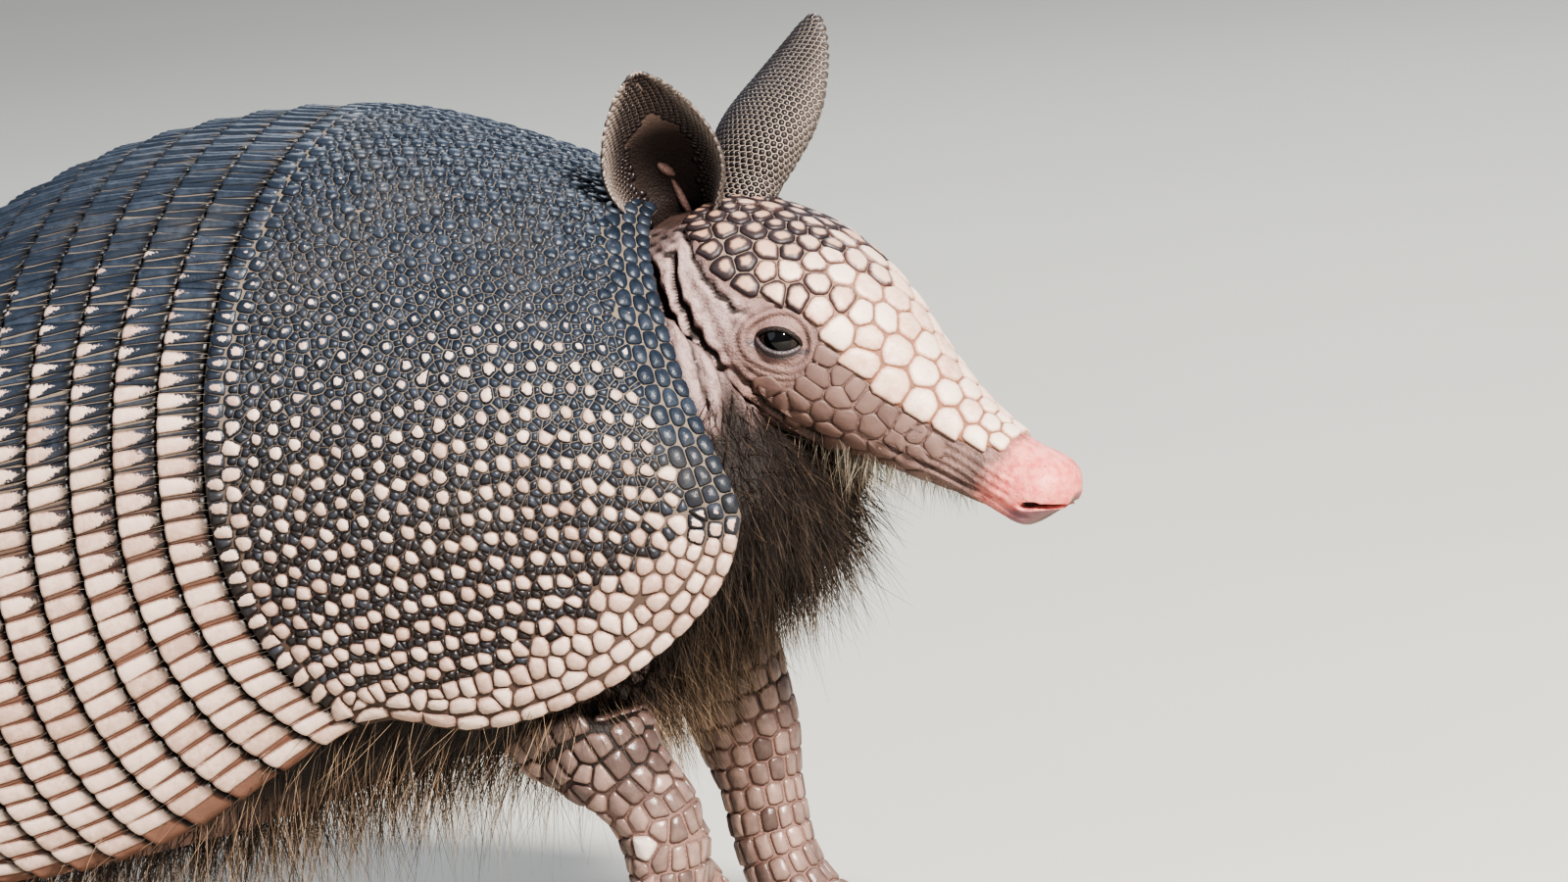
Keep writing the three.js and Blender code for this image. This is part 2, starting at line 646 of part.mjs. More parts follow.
function tailStation(t, extra = 0) {
  const p = TAIL_PATH.getPoint(t);
  return [p.x, p.y, p.z, tailRadius(t) + extra];
}

function makeTailLength({ from, to, rings, sides }, grow = 0) {
  const stations = [];
  const steps = rings || TAIL_PLAIN_STEPS;
  for (let i = 0; i < steps; i++) {
    const [a, b] = [i, i + 1].map((n) => from + ((to - from) * n) / steps);
    if (rings) stations.push(tailStation(a + 0.002), tailStation(b - 0.002, TAIL_RING_STEP));
    else stations.push(tailStation(a + 0.001));
  }
  if (!rings) stations.push(tailStation(to - 0.001));
  return tube(stations, sides, grow);
}

// ---------------------------------------------------------------- assembly
const COLOURS = {
  shell: { color: 0x5a5550, roughness: 0.5 },
  headShield: { color: 0xd9c3b4, roughness: 0.55 },
  skin: { color: 0x8a6e62, roughness: 0.7 },
  belly: { color: 0x5e4d44, roughness: 0.85 },
  nose: { color: 0xd98b82, roughness: 0.45 },
  eye: { color: 0x0b0a0a, roughness: 0.08 },
  claw: { color: 0xb9a184, roughness: 0.4 },
  tail: { color: 0x6b6058, roughness: 0.6 },
};

const armadillo = new THREE.Group();

function addPiece(name, solid, look) {
  const { vertProperties, triVerts, numProp } = solid.getMesh();
  const position = new Float32Array((vertProperties.length / numProp) * 3);
  for (let i = 0; i < position.length / 3; i++) {
    position.set(vertProperties.subarray(i * numProp, i * numProp + 3), i * 3);
  }
  const geometry = new THREE.BufferGeometry();
  geometry.setAttribute("position", new THREE.BufferAttribute(position, 3));
  geometry.setIndex(new THREE.BufferAttribute(triVerts, 1));
  const mesh = new THREE.Mesh(geometry, new THREE.MeshStandardMaterial({ ...COLOURS[look], metalness: 0 }));
  mesh.name = name;
  armadillo.add(mesh);
}

const largest = (solid) => solid.decompose().sort((a, b) => b.volume() - a.volume())[0];

function buildShell() {
  addPiece("shoulder_shield", makeShoulderShield(), "shell");
  for (let n = 0; n < BAND_COUNT; n++) addPiece(`band_${n + 1}`, makeBand(n), "shell");
  addPiece("pelvic_shield", makePelvicShield(), "shell");
}

// The head is parted into the bare nose, the lower jaw, the shield on the crown and the rest.
function buildHead(shell) {
  const sockets = eyeBall(-1, GAP).add(eyeBall(1, GAP));
  let flesh = headSolid().subtract(shell).subtract(sockets).subtract(headShieldBed());
  const nosePart = headBlock([NOSE_PAD, -20, -30], [HEAD_LENGTH + 8, 20, 20]);
  const noseRoom = headBlock([NOSE_PAD - GAP, -20, -30], [HEAD_LENGTH + 8, 20, 20]);
  const jawPart = headBlock([MOUTH.start, -30, -40], [NOSE_PAD - GAP, 30, MOUTH.height - GAP]);
  const jawRoom = headBlock([MOUTH.start - GAP, -30, -40], [NOSE_PAD, 30, MOUTH.height]);
  addPiece("nose", largest(flesh.intersect(nosePart)), "nose");
  addPiece("jaw", largest(flesh.intersect(jawPart)), "skin");
  flesh = flesh.subtract(noseRoom).subtract(jawRoom);
  addPiece("head", largest(flesh), "skin");
  addPiece("head_shield", headShield(HEAD_SHIELD_RISE, -HEAD_SHIELD_BED), "headShield");
  addPiece("eye_right", eyeBall(-1), "eye");
  addPiece("eye_left", eyeBall(1), "eye");
}

const headShieldBed = () => headShield(3, -HEAD_SHIELD_BED - GAP, 1.5 * GAP);

const EARS = {
  right: { root: [93.4, -12.6, 168.6], lean: 0.585, ahead: 0.085, turn: 1.15 },
  left: { root: [101.6, 12.6, 172.4], lean: 0.638, ahead: 0.206, turn: 1.1 },
};

// The room that the whole shell takes up, for cutting back what lies beneath it.
function shellRoom() {
  const shoulder = (a, q) => (shoulderReach(q) + 1) * a;
  const rest = (a, q) => (pelvisReach(q) - 1) * a;
  const lift = () => [5, -SHELL_THICKNESS - GAP];
  return shellPlate(shoulder, 7, GIRTH_STEPS, lift).add(shellPlate(rest, 14, GIRTH_STEPS, lift));
}

function buildBody(shell) {
  const headRoom = headSolid(GAP);
  const collar = neck().subtract(headRoom).subtract(shell);
  const body = largest(trunk().subtract(neck(GAP)).subtract(headRoom));
  const bodyRoom = trunk(GAP);
  const bulk = shellBulk();
  addPiece("trunk", body, "belly");
  addPiece("neck", largest(collar), "skin");
  const headParts = headRoom.add(headShieldBed()).add(neck(GAP)).add(shell);
  for (const [side, sign] of [["right", -1], ["left", 1]]) {
    addPiece(`ear_${side}`, largest(makeEar(sign, EARS[side]).subtract(headParts)), "skin");
  }
  for (const [name, legs] of [["foreleg", FORELEGS], ["hindleg", HINDLEGS]]) {
    for (const side of ["right", "left"]) {
      const footRoom = footSolid(FEET[`${name.replace("leg", "foot")}_${side}`], GAP);
      const leg = tube(legs[side], LEG_SIDES).subtract(bulk).subtract(bodyRoom).subtract(footRoom);
      addPiece(`${name}_${side}`, largest(leg), "skin");
    }
  }
  for (const [name, foot] of Object.entries(FEET)) {
    const room = footSolid(foot, GAP);
    addPiece(name, footSolid(foot).subtract(FLOOR), "skin");
    foot.toes.forEach((toe, i) => {
      addPiece(`claw_${name}_${i + 1}`, largest(makeClaw(foot, toe).subtract(room).subtract(FLOOR)), "claw");
    });
  }
  return bodyRoom;
}

// Each length of tail is cut clear of the trunk, the shell, the floor and the length ahead of it.
function buildTail(shell, bodyRoom) {
  let taken = shell.add(bodyRoom).add(FLOOR);
  for (const length of TAIL_LENGTHS) {
    addPiece(length.name, largest(makeTailLength(length).subtract(taken)), "tail");
    taken = taken.add(makeTailLength(length, GAP));
  }
}

const shell = shellRoom();
buildShell();
buildHead(shell);
buildTail(shell, buildBody(shell));

// The origin is on the floor, under the middle of the whole animal.
const bounds = new THREE.Box3().setFromObject(armadillo);
const middle = bounds.getCenter(new THREE.Vector3());
for (const piece of armadillo.children) piece.geometry.translate(-middle.x, -middle.y, -bounds.min.z);

export default armadillo;
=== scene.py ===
"""A life-size nine-banded armadillo: scaled shell, head, ears, limbs and ringed tail over one skin."""

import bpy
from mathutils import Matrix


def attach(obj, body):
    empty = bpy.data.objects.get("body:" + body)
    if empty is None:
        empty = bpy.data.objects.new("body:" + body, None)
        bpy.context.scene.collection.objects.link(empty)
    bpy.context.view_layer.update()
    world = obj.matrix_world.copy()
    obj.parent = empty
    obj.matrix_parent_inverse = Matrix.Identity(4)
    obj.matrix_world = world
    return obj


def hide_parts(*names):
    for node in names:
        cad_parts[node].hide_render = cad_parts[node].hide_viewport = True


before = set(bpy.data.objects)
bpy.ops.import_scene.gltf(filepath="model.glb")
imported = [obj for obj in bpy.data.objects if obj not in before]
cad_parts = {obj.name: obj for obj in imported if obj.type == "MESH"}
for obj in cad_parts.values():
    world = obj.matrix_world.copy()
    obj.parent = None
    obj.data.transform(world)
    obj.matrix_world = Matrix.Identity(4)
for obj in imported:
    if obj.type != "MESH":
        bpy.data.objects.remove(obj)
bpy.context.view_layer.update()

import math

import bpy
import numpy as np
import openvdb
from mathutils import Matrix, Vector
from mathutils.bvhtree import BVHTree
from mathutils.kdtree import KDTree

MM = 0.001
TURN = 2 * math.pi
CHANCE = np.random.default_rng(9)
# Shapes are worked out in millimetres round the spine's own origin, and then moved into the row frame.
BODY_SHIFT = np.array([180.369, 0.0, 0.0])
SIDEWAYS = np.array([0, 1.0, 0])
DOWN = np.array([0, 0, -1.0])


# ---- shader maths
def tint(red, green, blue):
    """A colour given as it looks on a screen, 0 to 255, turned into the linear one that shaders use."""
    parts = [c / 255 for c in (red, green, blue)]
    return (*[c / 12.92 if c <= 0.04045 else ((c + 0.055) / 1.055) ** 2.4 for c in parts], 1.0)


# Painted shadow where one plate of the shell lies under the next.
OVERLAP_SHADOW_COLOUR = tint(20, 15, 14)


class Value:
    """A shader socket that takes part in Python arithmetic."""

    def __init__(self, finish, socket):
        self.finish, self.socket = finish, socket

    def math(self, operation, *terms):
        return self.finish.node("Math", {"operation": operation}, dict(enumerate(terms)))

    def __add__(self, other):
        return self.math("ADD", self, other)

    def __sub__(self, other):
        return self.math("SUBTRACT", self, other)

    def __rsub__(self, other):
        return self.math("SUBTRACT", other, self)

    def __mul__(self, other):
        return self.math("MULTIPLY", self, other)

    __radd__, __rmul__ = __add__, __mul__

    def ramp(self, low, high):
        """The shader's own form of blend()."""
        if low > high:
            return 1 - self.ramp(high, low)
        settings = {"interpolation_type": "SMOOTHSTEP"}
        return self.finish.node("MapRange", settings, {"Value": self, "From Min": low, "From Max": high})


class Finish:
    """A material whose nodes are made by calls. constants go on the shader's own sockets."""

    def __init__(self, name, **constants):
        self.material = bpy.data.materials.new(name)
        self.material.use_nodes = True
        self.tree = self.material.node_tree
        self.shader = self.tree.nodes["Principled BSDF"]
        for socket, value in constants.items():
            self.shader.inputs[socket.replace("_", " ")].default_value = value
        self.place = self.node("TexCoord", out="Object")

    def node(self, kind, settings=(), sockets=(), out=0):
        node = self.tree.nodes.new("ShaderNode" + kind)
        for key, value in dict(settings).items():
            setattr(node, key, value)
        for key, value in dict(sockets).items():
            self.join(value, node.inputs[key])
        return Value(self, node.outputs[out])

    def join(self, value, socket):
        if isinstance(value, Value):
            self.tree.links.new(value.socket, socket)
        else:
            socket.default_value = value

    def shade(self, **sockets):
        for name, value in sockets.items():
            self.join(value, self.shader.inputs[name.replace("_", " ")])
        return self

    def mix(self, first, second, share):
        return self.node("Mix", {"data_type": "RGBA"}, {0: share, 6: first, 7: second}, out=2)

    def layers(self, colour, *coats):
        """A colour under coats given as pairs (colour, share), the first one lowest."""
        for coat, share in coats:
            colour = self.mix(colour, coat, share)
        return colour

    def noise(self, size, detail=3.0, roughness=0.55):
        """Cloudy noise round 0.5, with lumps of about this size in millimetres."""
        sockets = {"Vector": self.place, "Scale": 1 / (size * MM), "Detail": detail, "Roughness": roughness}
        return self.node("TexNoise", sockets=sockets)

    def cracks(self, size):
        """Distance from the edges of small cells of about this size in millimetres: 0 on an edge."""
        sockets = {"Vector": self.place, "Scale": 1 / (size * MM)}
        return self.node("TexVoronoi", {"feature": "DISTANCE_TO_EDGE"}, sockets)

    def marks(self, names):
        """The values of these names that the mesh carries at each point."""
        return [self.node("Attribute", {"attribute_name": name}, out="Fac") for name in names.split()]

    def bump(self, height, depth, strength=1.0):
        """Relief of this depth in millimetres."""
        sockets = {"Height": height, "Distance": depth * MM, "Strength": strength}
        return self.shade(Normal=self.node("Bump", sockets=sockets))


# ---- meshes from arrays
class Mould:
    """Points, faces and the values they carry, gathered for one piece."""

    def __init__(self):
        self.points, self.faces, self.charts, self.values, self.count = [], [], [], [], 0

    def add(self, points, faces, chart=(0.0, 0.0), **values):
        points = np.asarray(points, float).reshape(-1, 3)
        self.faces += [np.asarray(block) + self.count for block in faces if len(block)]
        self.points.append(points)
        self.charts.append(np.broadcast_to(np.asarray(chart, float), (len(points), 2)))
        self.values.append({k: np.broadcast_to(np.asarray(v, float), len(points)) for k, v in values.items()})
        self.count += len(points)
        return self

    def build(self, name, finish, slot, replaces=(), charted=True):
        mesh = bpy.data.meshes.new(name)
        points = (np.concatenate(self.points) + BODY_SHIFT) * MM
        corners = np.concatenate([block.ravel() for block in self.faces])
        sizes = np.concatenate([np.full(len(block), block.shape[1]) for block in self.faces])
        mesh.vertices.add(len(points))
        mesh.vertices.foreach_set("co", points.ravel())
        mesh.loops.add(len(corners))
        mesh.loops.foreach_set("vertex_index", corners.astype(np.int32))
        mesh.polygons.add(len(sizes))
        mesh.polygons.foreach_set("loop_start", joined([0], np.cumsum(sizes)[:-1]).astype(np.int32))
        mesh.update(calc_edges=True)
        mesh.shade_smooth()
        for key in sorted({k for part in self.values for k in part}):
            blank = [part.get(key, np.zeros(len(p))) for part, p in zip(self.values, self.points)]
            mesh.attributes.new(key, "FLOAT", "POINT").data.foreach_set("value", np.concatenate(blank))
        if charted:
            chart = np.concatenate(self.charts)[corners]
            mesh.uv_layers.new(name="OFBake").data.foreach_set("uv", chart.ravel())
        piece = bpy.data.objects.new(name, mesh)
        bpy.context.collection.objects.link(piece)
        mesh.materials.append(finish.material)
        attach(piece, "root")
        if replaces:
            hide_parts(*replaces)
        return piece


def blend(low, high, value):
    """0 below low, 1 above high and smooth between, or the other way round where low is the larger."""
    share = np.clip((np.asarray(value, float) - low) / (high - low), 0, 1)
    return share * share * (3 - 2 * share)


def between(start, full, fade, end, value):
    """1 from full to fade, and 0 before start and after end."""
    return blend(start, full, value) * (1 - blend(fade, end, value))


def unit(vectors):
    return vectors / np.maximum(np.linalg.norm(vectors, axis=-1, keepdims=True), 1e-9)


def full_turn(count, shift=0.0):
    """Angles at even steps round a circle, moved on by this share of a step."""
    return (np.arange(count) + shift) / count * TURN


def reach_of(vectors):
    return np.linalg.norm(vectors, axis=-1)


def joined(*parts, axis=0):
    return np.concatenate(parts, axis)


def columns_of(*parts):
    return np.stack(parts, -1)


def lengths_along(points):
    """How far each point of a line lies from its first one."""
    return joined([0], np.cumsum(reach_of(np.diff(points, axis=0))))


def tree_of(points):
    tree = KDTree(len(points))
    for i, p in enumerate(points):
        tree.insert(p, i)
    tree.balance()
    return tree


def smooth_table(table, at):
    """A table's columns at these keys, which rise down its first column: a Catmull-Rom curve."""
    table = np.asarray(table, float)
    keys, values = table[:, 0], table[:, 1:]
    at = np.clip(np.asarray(at, float), keys[0], keys[-1])
    i = np.clip(np.searchsorted(keys, at, side="right") - 1, 0, len(keys) - 2)
    all_keys = np.arange(len(keys))
    before, after = np.maximum(all_keys - 1, 0), np.minimum(all_keys + 1, len(keys) - 1)
    slopes = (values[after] - values[before]) / (keys[after] - keys[before])[:, None]
    span = (keys[i + 1] - keys[i])[..., None]
    t = (at - keys[i])[..., None] / span
    return (
        (2 * t**3 - 3 * t**2 + 1) * values[i]
        + (t**3 - 2 * t**2 + t) * span * slopes[i]
        + (3 * t**2 - 2 * t**3) * values[i + 1]
        + (t**3 - t**2) * span * slopes[i + 1]
    )


class Surface:
    """A curved sheet. place(a, b) gives its points, steps are small moves in a and b, side turns it over."""

    def __init__(self, place, steps, side=1):
        self.place, self.steps, self.side = place, steps, side

    def slopes(self, a, b):
        da, db = self.steps
        along = (self.place(a + da, b) - self.place(a - da, b)) / (2 * da)
        around = (self.place(a, b + db) - self.place(a, b - db)) / (2 * db)
        return along, around

    def normals(self, a, b):
        return self.side * unit(np.cross(*self.slopes(a, b)))

    def at(self, a, b, rise=0.0):
        a, b, rise = np.broadcast_arrays(a, b, rise)
        return self.place(a, b) + self.normals(a, b) * rise[..., None]

    def shifted(self, a, b, move):
        """The parameters of the places that lie this far away, by a vector along the sheet."""
        along, around = self.slopes(a, b)
        aa, bb, ab = [(p * q).sum(-1) for p, q in ((along, along), (around, around), (along, around))]
        ma, mb = (along * move).sum(-1), (around * move).sum(-1)
        whole = np.maximum(aa * bb - ab * ab, 1e-9)
        return a + (ma * bb - mb * ab) / whole, b + (mb * aa - ma * ab) / whole


# ---- scutes
BATCH = 1500  # Cells worked out at once.
MOST_CORNERS = 14
LEAST_AREA = 0.25
# Steps from a plate's rim towards its top, as shares of its outline and of its height.
DOME = ((1.0, 0.3), (0.8, 0.84))
BUTTON = ((1.0, 0.45),)
BEAD = ((1.0, 0.12), (0.86, 0.74))
SHIELD_PLATE = ((1.0, 0.2), (0.88, 0.72), (0.6, 0.94))


def enclosed(lines):
    """Cells that lines enclose, each line given by its direction and distance from the cell's place. Gives
    each number of corners with the cells that have it and their rings of corners."""
    first, second = np.triu_indices(lines.shape[1], 1)
    one, two = lines[:, first], lines[:, second]
    whole = one[..., 0] * two[..., 1] - one[..., 1] * two[..., 0]
    inside = abs(whole) > 1e-4
    safe = np.where(inside, whole, 1)
    x = (one[..., 2] * two[..., 1] - two[..., 2] * one[..., 1]) / safe
    y = (two[..., 2] * one[..., 0] - one[..., 2] * two[..., 0]) / safe
    for k in range(lines.shape[1]):
        inside &= x * lines[:, k, None, 0] + y * lines[:, k, None, 1] <= lines[:, k, None, 2] + 1e-4
    count = inside.sum(1)
    for n in np.unique(count):
        if 3 <= n <= MOST_CORNERS:
            who = np.nonzero(count == n)[0]
            pick = np.nonzero(inside[who])[1].reshape(len(who), n)
            ring = columns_of(*[np.take_along_axis(c[who], pick, 1) for c in (x, y)])
            off = ring - ring.mean(1, keepdims=True)
            order = np.argsort(np.arctan2(off[..., 1], off[..., 0]), 1)
            yield n, who, np.take_along_axis(ring, order[..., None], 1)


def scute_cells(points, normals, radii, groove, reach, walls=(), near=14):
    """Divides a surface between places as horny plates are: larger radii take more room. walls are pairs
    (directions, distances) that no plate of that place crosses, and reach is the most a plate may extend.
    Gives blocks of (places, corners in each place's own plane, east, north)."""
    points, normals, radii = np.asarray(points), unit(np.asarray(normals)), np.asarray(radii)
    groove = np.broadcast_to(groove, len(points))
    tree, close = tree_of(points), min(near, len(points) - 1)
    others = np.array([[i for _, i, _ in tree.find_n(p, close + 1)][1:] for p in points])
    east = unit(np.cross(normals, np.array([0.31, 0.17, 0.93])))
    north = np.cross(normals, east)

    def in_plane(vectors):
        """The directions and lengths of these vectors in each place's own plane."""
        x, y = (vectors * east[:, None]).sum(-1), (vectors * north[:, None]).sum(-1)
        far = np.maximum(np.hypot(x, y), 1e-6)
        return x / far, y / far, far

    x, y, gap = in_plane(points[others] - points[:, None])
    far = (gap**2 + radii[:, None] ** 2 - radii[others] ** 2) / (2 * gap)
    lines = [columns_of(x, y, far - groove[:, None] / 2)]
    for directions, distances in walls:
        x, y, _ = in_plane(directions[:, None])
        lines.append(columns_of(x, y, (distances - groove / 2)[:, None]))
    reach = np.broadcast_to(reach, len(points))[:, None]
    for turn in np.arange(6) * math.pi / 3:
        lines.append(columns_of(*np.broadcast_arrays(math.cos(turn), math.sin(turn), reach)))
    lines = np.concatenate(lines, 1)
    blocks = {}
    for start in range(0, len(points), BATCH):
        for n, who, rings in enclosed(lines[start : start + BATCH]):
            blocks.setdefault(n, []).append((who + start, rings))
    cells = []
    for parts in blocks.values():
        who, rings = [np.concatenate(column) for column in zip(*parts)]
        x, y = rings[..., 0], rings[..., 1]
        area = 0.5 * abs((x * np.roll(y, -1, 1) - y * np.roll(x, -1, 1)).sum(1))
        cells.append((who[area > LEAST_AREA], rings[area > LEAST_AREA]))
    return [block for block in cells if len(block[0])], east, north


def rounded(rings, cut):
    """Cuts every corner of these rings once, by this share of the edges."""
    after = np.roll(rings, -1, 1)
    corners = np.stack([(1 - cut) * rings + cut * after, cut * rings + (1 - cut) * after], 2)
    return corners.reshape(len(rings), -1, 2)


def raise_plates(mould, drape, who, rings, heights, chart, steps, skirt=0.7, **values):
    """Domed plates over rings of corners. drape(who, offsets) gives points and normals on the surface, steps
    are pairs (share of the outline, share of the height) from the rim to the top, and chart is each plate's
    place on the unwrapped surface with its scale per millimetre."""
    m, n = rings.shape[:2]
    centre = rings.mean(1, keepdims=True)
    roots, scale = chart
    layers, charts, radial = [], [], []
    for share, rise in [(1.0, None), *steps]:
        offsets = centre + (rings - centre) * share
        points, normals = drape(who, offsets)
        lift = -skirt + 0 * heights if rise is None else heights * rise
        layers.append(points + normals * lift[:, None, None])
        spread = 1.08 if rise is None else 1.0
        charts.append(roots[who][:, None] + (centre + (offsets - centre) * spread) * scale)
        radial.append(np.full((m, n), share))
    points, normals = drape(who, centre)
    top = points + normals * heights[:, None, None]
    rows = len(layers)
    body = joined(*layers, top, axis=1).reshape(-1, 3)
    chart_all = joined(*charts, roots[who][:, None] + centre * scale, axis=1).reshape(-1, 2)
    radial = joined(*radial, np.zeros((m, 1)), axis=1).ravel()
    base = (np.arange(m) * (rows * n + 1))[:, None]
    i, j = np.arange(n), (np.arange(n) + 1) % n
    faces = []
    for r in range(rows - 1):
        quad = columns_of(r * n + i, r * n + j, (r + 1) * n + j, (r + 1) * n + i)
        faces.append((base[..., None] + quad).reshape(-1, 4))
    last = (rows - 1) * n
    cap = columns_of(last + i, last + j, np.full(n, rows * n))
    faces.append((base[..., None] + cap).reshape(-1, 3))
    carried = {k: np.repeat(np.broadcast_to(v, len(roots))[who], rows * n + 1) for k, v in values.items()}
    mould.add(body, faces, chart_all, radial=radial, spread=radial, **carried)


def lay_plates(mould, cells, drape, heights, chart, steps, cut=0.0, **values):
    """Raises the plates of all these cells with their corners cut. A value, or the heights, may also be a
    function that draws it at random for a number of plates."""
    count = len(chart[0])
    for who, rings in cells:
        shape = rounded(rings, cut) if cut else rings
        rise = heights(len(who)) if callable(heights) else np.broadcast_to(heights, count)[who]
        drawn = {name: value(count) if callable(value) else value for name, value in values.items()}
        raise_plates(mould, drape, who, shape, rise, chart, steps, **drawn)


def on_grid(first, second):
    """Two runs of numbers spread over a grid: the first down it, the second across it."""
    return np.meshgrid(first, second, indexing="ij")


def plates_on(surface, a, b, radii, groove, reach, walls=(), lift=0.0, near=14):
    """Cells for plates at these places of a parametric surface, and the way they lie on it. lift is a height,
    or a function that gives it for each place."""
    points, normals = surface.place(a, b), surface.normals(a, b)
    cells, east, north = scute_cells(points, normals, radii, groove, reach, walls, near)

    def drape(who, offsets):
        move = offsets[..., :1] * east[who][:, None] + offsets[..., 1:] * north[who][:, None]
        blank = np.zeros(offsets.shape[:2])
        pa, pb = surface.shifted(a[who][:, None] + blank, b[who][:, None] + blank, move)
        return surface.at(pa, pb, lift(pa, pb) if callable(lift) else lift), surface.normals(pa, pb)

    return cells, drape


def grid_faces(rows, columns, closed=False):
    """Quads over a grid of points; closed joins its last column to its first."""
    r, c = on_grid(np.arange(rows - 1), np.arange(columns if closed else columns - 1))
    d = (c + 1) % columns
    here, below = r * columns, (r + 1) * columns
    return columns_of(here + c, below + c, below + d, here + d).reshape(-1, 4)


def fan(ring, tip):
    """Triangles from a closed ring of points to its tip."""
    return columns_of(ring, np.full(len(ring), tip), np.roll(ring, -1))


def last_ring(rows, columns):
    return (rows - 1) * columns + np.arange(columns)


def two_sided(rows, columns, turned=False):
    """Faces of a grid of points, of a second grid that follows it and lies behind, and of the wall."""
    front = grid_faces(rows, columns)
    back, wall = front[:, ::-1] + rows * columns, rim_wall(rows, columns)
    return [block[:, ::-1] for block in (front, back, wall)] if turned else [front, back, wall]


def rim_wall(rows, columns):
    """Quads that join the rim of a grid of points to the rim of a second grid that follows it."""
    n = rows * columns
    top, left = np.arange(columns), np.arange(rows) * columns
    loop = joined(top, left[1:] + columns - 1, (n - 1 - top)[1:], left[::-1][1:-1])
    after = np.roll(loop, -1)
    return columns_of(loop, after, after + n, loop + n)


# ---- the shell
SHELL_THICKNESS = 2.6
GAP = 0.4
BANDS = 9
BAND_PITCH = 97 / BANDS
BAND_STEP = 1.1
BAND_PLATE_PITCH = 4.7
# The share of the girth at which the flank is steepest, and how far the shell curls in below that.
FLANK_SHARE = 0.65
TUCK = math.radians(65)
# The sheets under the plates lie this far inside the solids' surface.
SHEET_SINK = 0.1
SHOULDER_PITCH, PELVIS_PITCH = 5.2, 5.6
# The girth share at which the shoulder shield's front edge turns back.
FRONT_CORNER = 0.62
# The rows of plates along a shield's free edge: depths from the edge, and pitches at girth shares.
EDGE_DEPTHS = (1.7, 5.1, 8.7)
EDGE_PITCHES = ([0.3, 0.62, 0.8, 1.0], [4.5, 4.7, 5.8, 7.0])
EDGE_HALF, EDGE_INNER_HALF = 1.72, 2.3
# The grid of one long plate of a band: shares of its half width, and of the band's length.
BAND_PLATE_ACROSS = np.array([-1, -0.84, -0.45, 0, 0.45, 0.84, 1])
BAND_PLATE_STEPS = np.array([0.02, 0.12, 0.3, 0.5, 0.7, 0.88, 0.955])
ROSETTE, NEAR_PLATE, FAR_PLATE, EDGE_ROW, HINGE = 0, 1, 2, 3, 6
# A rosette and the small plates round it: kind, rows further on and pitches aside.
LATTICE = ((0, 0, 0), (1, 0, 0.5), (1, 0.5, 0.25), (1, 0.5, -0.25), (2, 0.33, 0.5), (2, 0.67, 0))
# By kind of plate: its radius, the most it may reach, and its height.
PLATE_RADII = [1.68, 0.95, 1.28, 2.0, 2.0, 2.0, 1.8]
PLATE_REACHES = [3.3, 1.5, 1.7, 5, 5, 4, 4]
PLATE_HEIGHTS = [0.85, 0.45, 0.45, 0.85, 0.8, 0.8, 0.6]
# Girth shares with how much of a plate is pale there, on the shields and on the bands.
PALE_SHARES = ([0.3, 0.38, 0.46, 0.54, 0.62, 0.75, 0.9], [0, 0.2, 0.44, 0.68, 0.84, 0.98, 1.25])
BAND_PALE_SHARES = ([0.31, 0.38, 0.47, 0.56, 0.66, 0.8, 1], [0, 0.22, 0.46, 0.7, 0.9, 1.02, 1.12])
SHELL_REAR, SHELL_FRONT = -240, 115
# From rear to front: place along the flank, ridge x z, flank x y z, margin x y z.
SHELL_STATIONS = [
    (-240, -207, 92, -203, 22, 76, -196, 18, 63),
    (-222, -194, 108, -191, 34, 83, -181, 29, 65),
    (-190, -166, 132, -164, 54, 93, -147, 46, 58),
    (-150, -128, 154, -130, 69, 103, -106, 60, 48),
    (-97, -79, 176.5, -87, 77, 114, -60, 65, 43),
    (-50, -35.5, 194, -46, 78.5, 120, -20, 66, 50.7),
    (0, 13.4, 199, 0, 77.5, 126, 26, 65.5, 73),
    (40, 51, 190.5, 39, 75.5, 121.4, 51, 66, 70.3),
    (80, 89, 170.3, 78, 70, 115.5, 84.5, 62, 71.5),
    (115, 121, 136.5, 112, 58, 110, 113.5, 49, 75),
]


def shell_place(u, q):
    """A point of the shell: u along the flank from the shoulder shield's rear edge, q -1 to 1 across it."""
    u, q = np.broadcast_arrays(np.asarray(u, float), np.clip(q, -1.02, 1.02))
    over = u - np.clip(u, SHELL_REAR, SHELL_FRONT)
    station = np.moveaxis(smooth_table(SHELL_STATIONS, u), -1, 0)
    ridge_x, ridge_z, x, y, z, margin_x, margin_y, margin_z = station
    side = abs(q)
    angle = np.minimum(side / FLANK_SHARE, 1) * math.pi / 2
    across, up = np.sin(angle), np.maximum(np.cos(angle), 0)
    upper = [x + (ridge_x - x) * up**2.2, y * across**0.94, z + (ridge_z - z) * up**0.94]
    curl = np.maximum(side - FLANK_SHARE, 0) / (1 - FLANK_SHARE) * TUCK
    inward = (1 - np.cos(curl)) / (1 - math.cos(TUCK))
    lower = [
        x + (margin_x - x) * inward,
        y + (margin_y - y) * inward,
        z + (margin_z - z) * np.sin(curl) / math.sin(TUCK),
    ]
    px, py, pz = [np.where(side > FLANK_SHARE, low, high) for high, low in zip(upper, lower)]
    return columns_of(px + over, np.sign(q) * py, pz)


SHELL = Surface(shell_place, (0.4, 0.01))


def shoulder_reach(q):
    """How far forward the shoulder shield goes, from the nape down to its rounded lower corner."""
    side = np.minimum(abs(q), 1)
    down = np.maximum(side - FRONT_CORNER, 0) / (1 - FRONT_CORNER)
    corner = 22 + 93 * np.sqrt(np.maximum(1 - down * down, 0))
    return np.where(side < FRONT_CORNER, 76 + 39 * blend(0, FRONT_CORNER, side), corner)


def pelvis_reach(q):
    """How far back the pelvic shield goes."""
    return -236 + 46 * np.minimum(abs(q), 1) ** 5


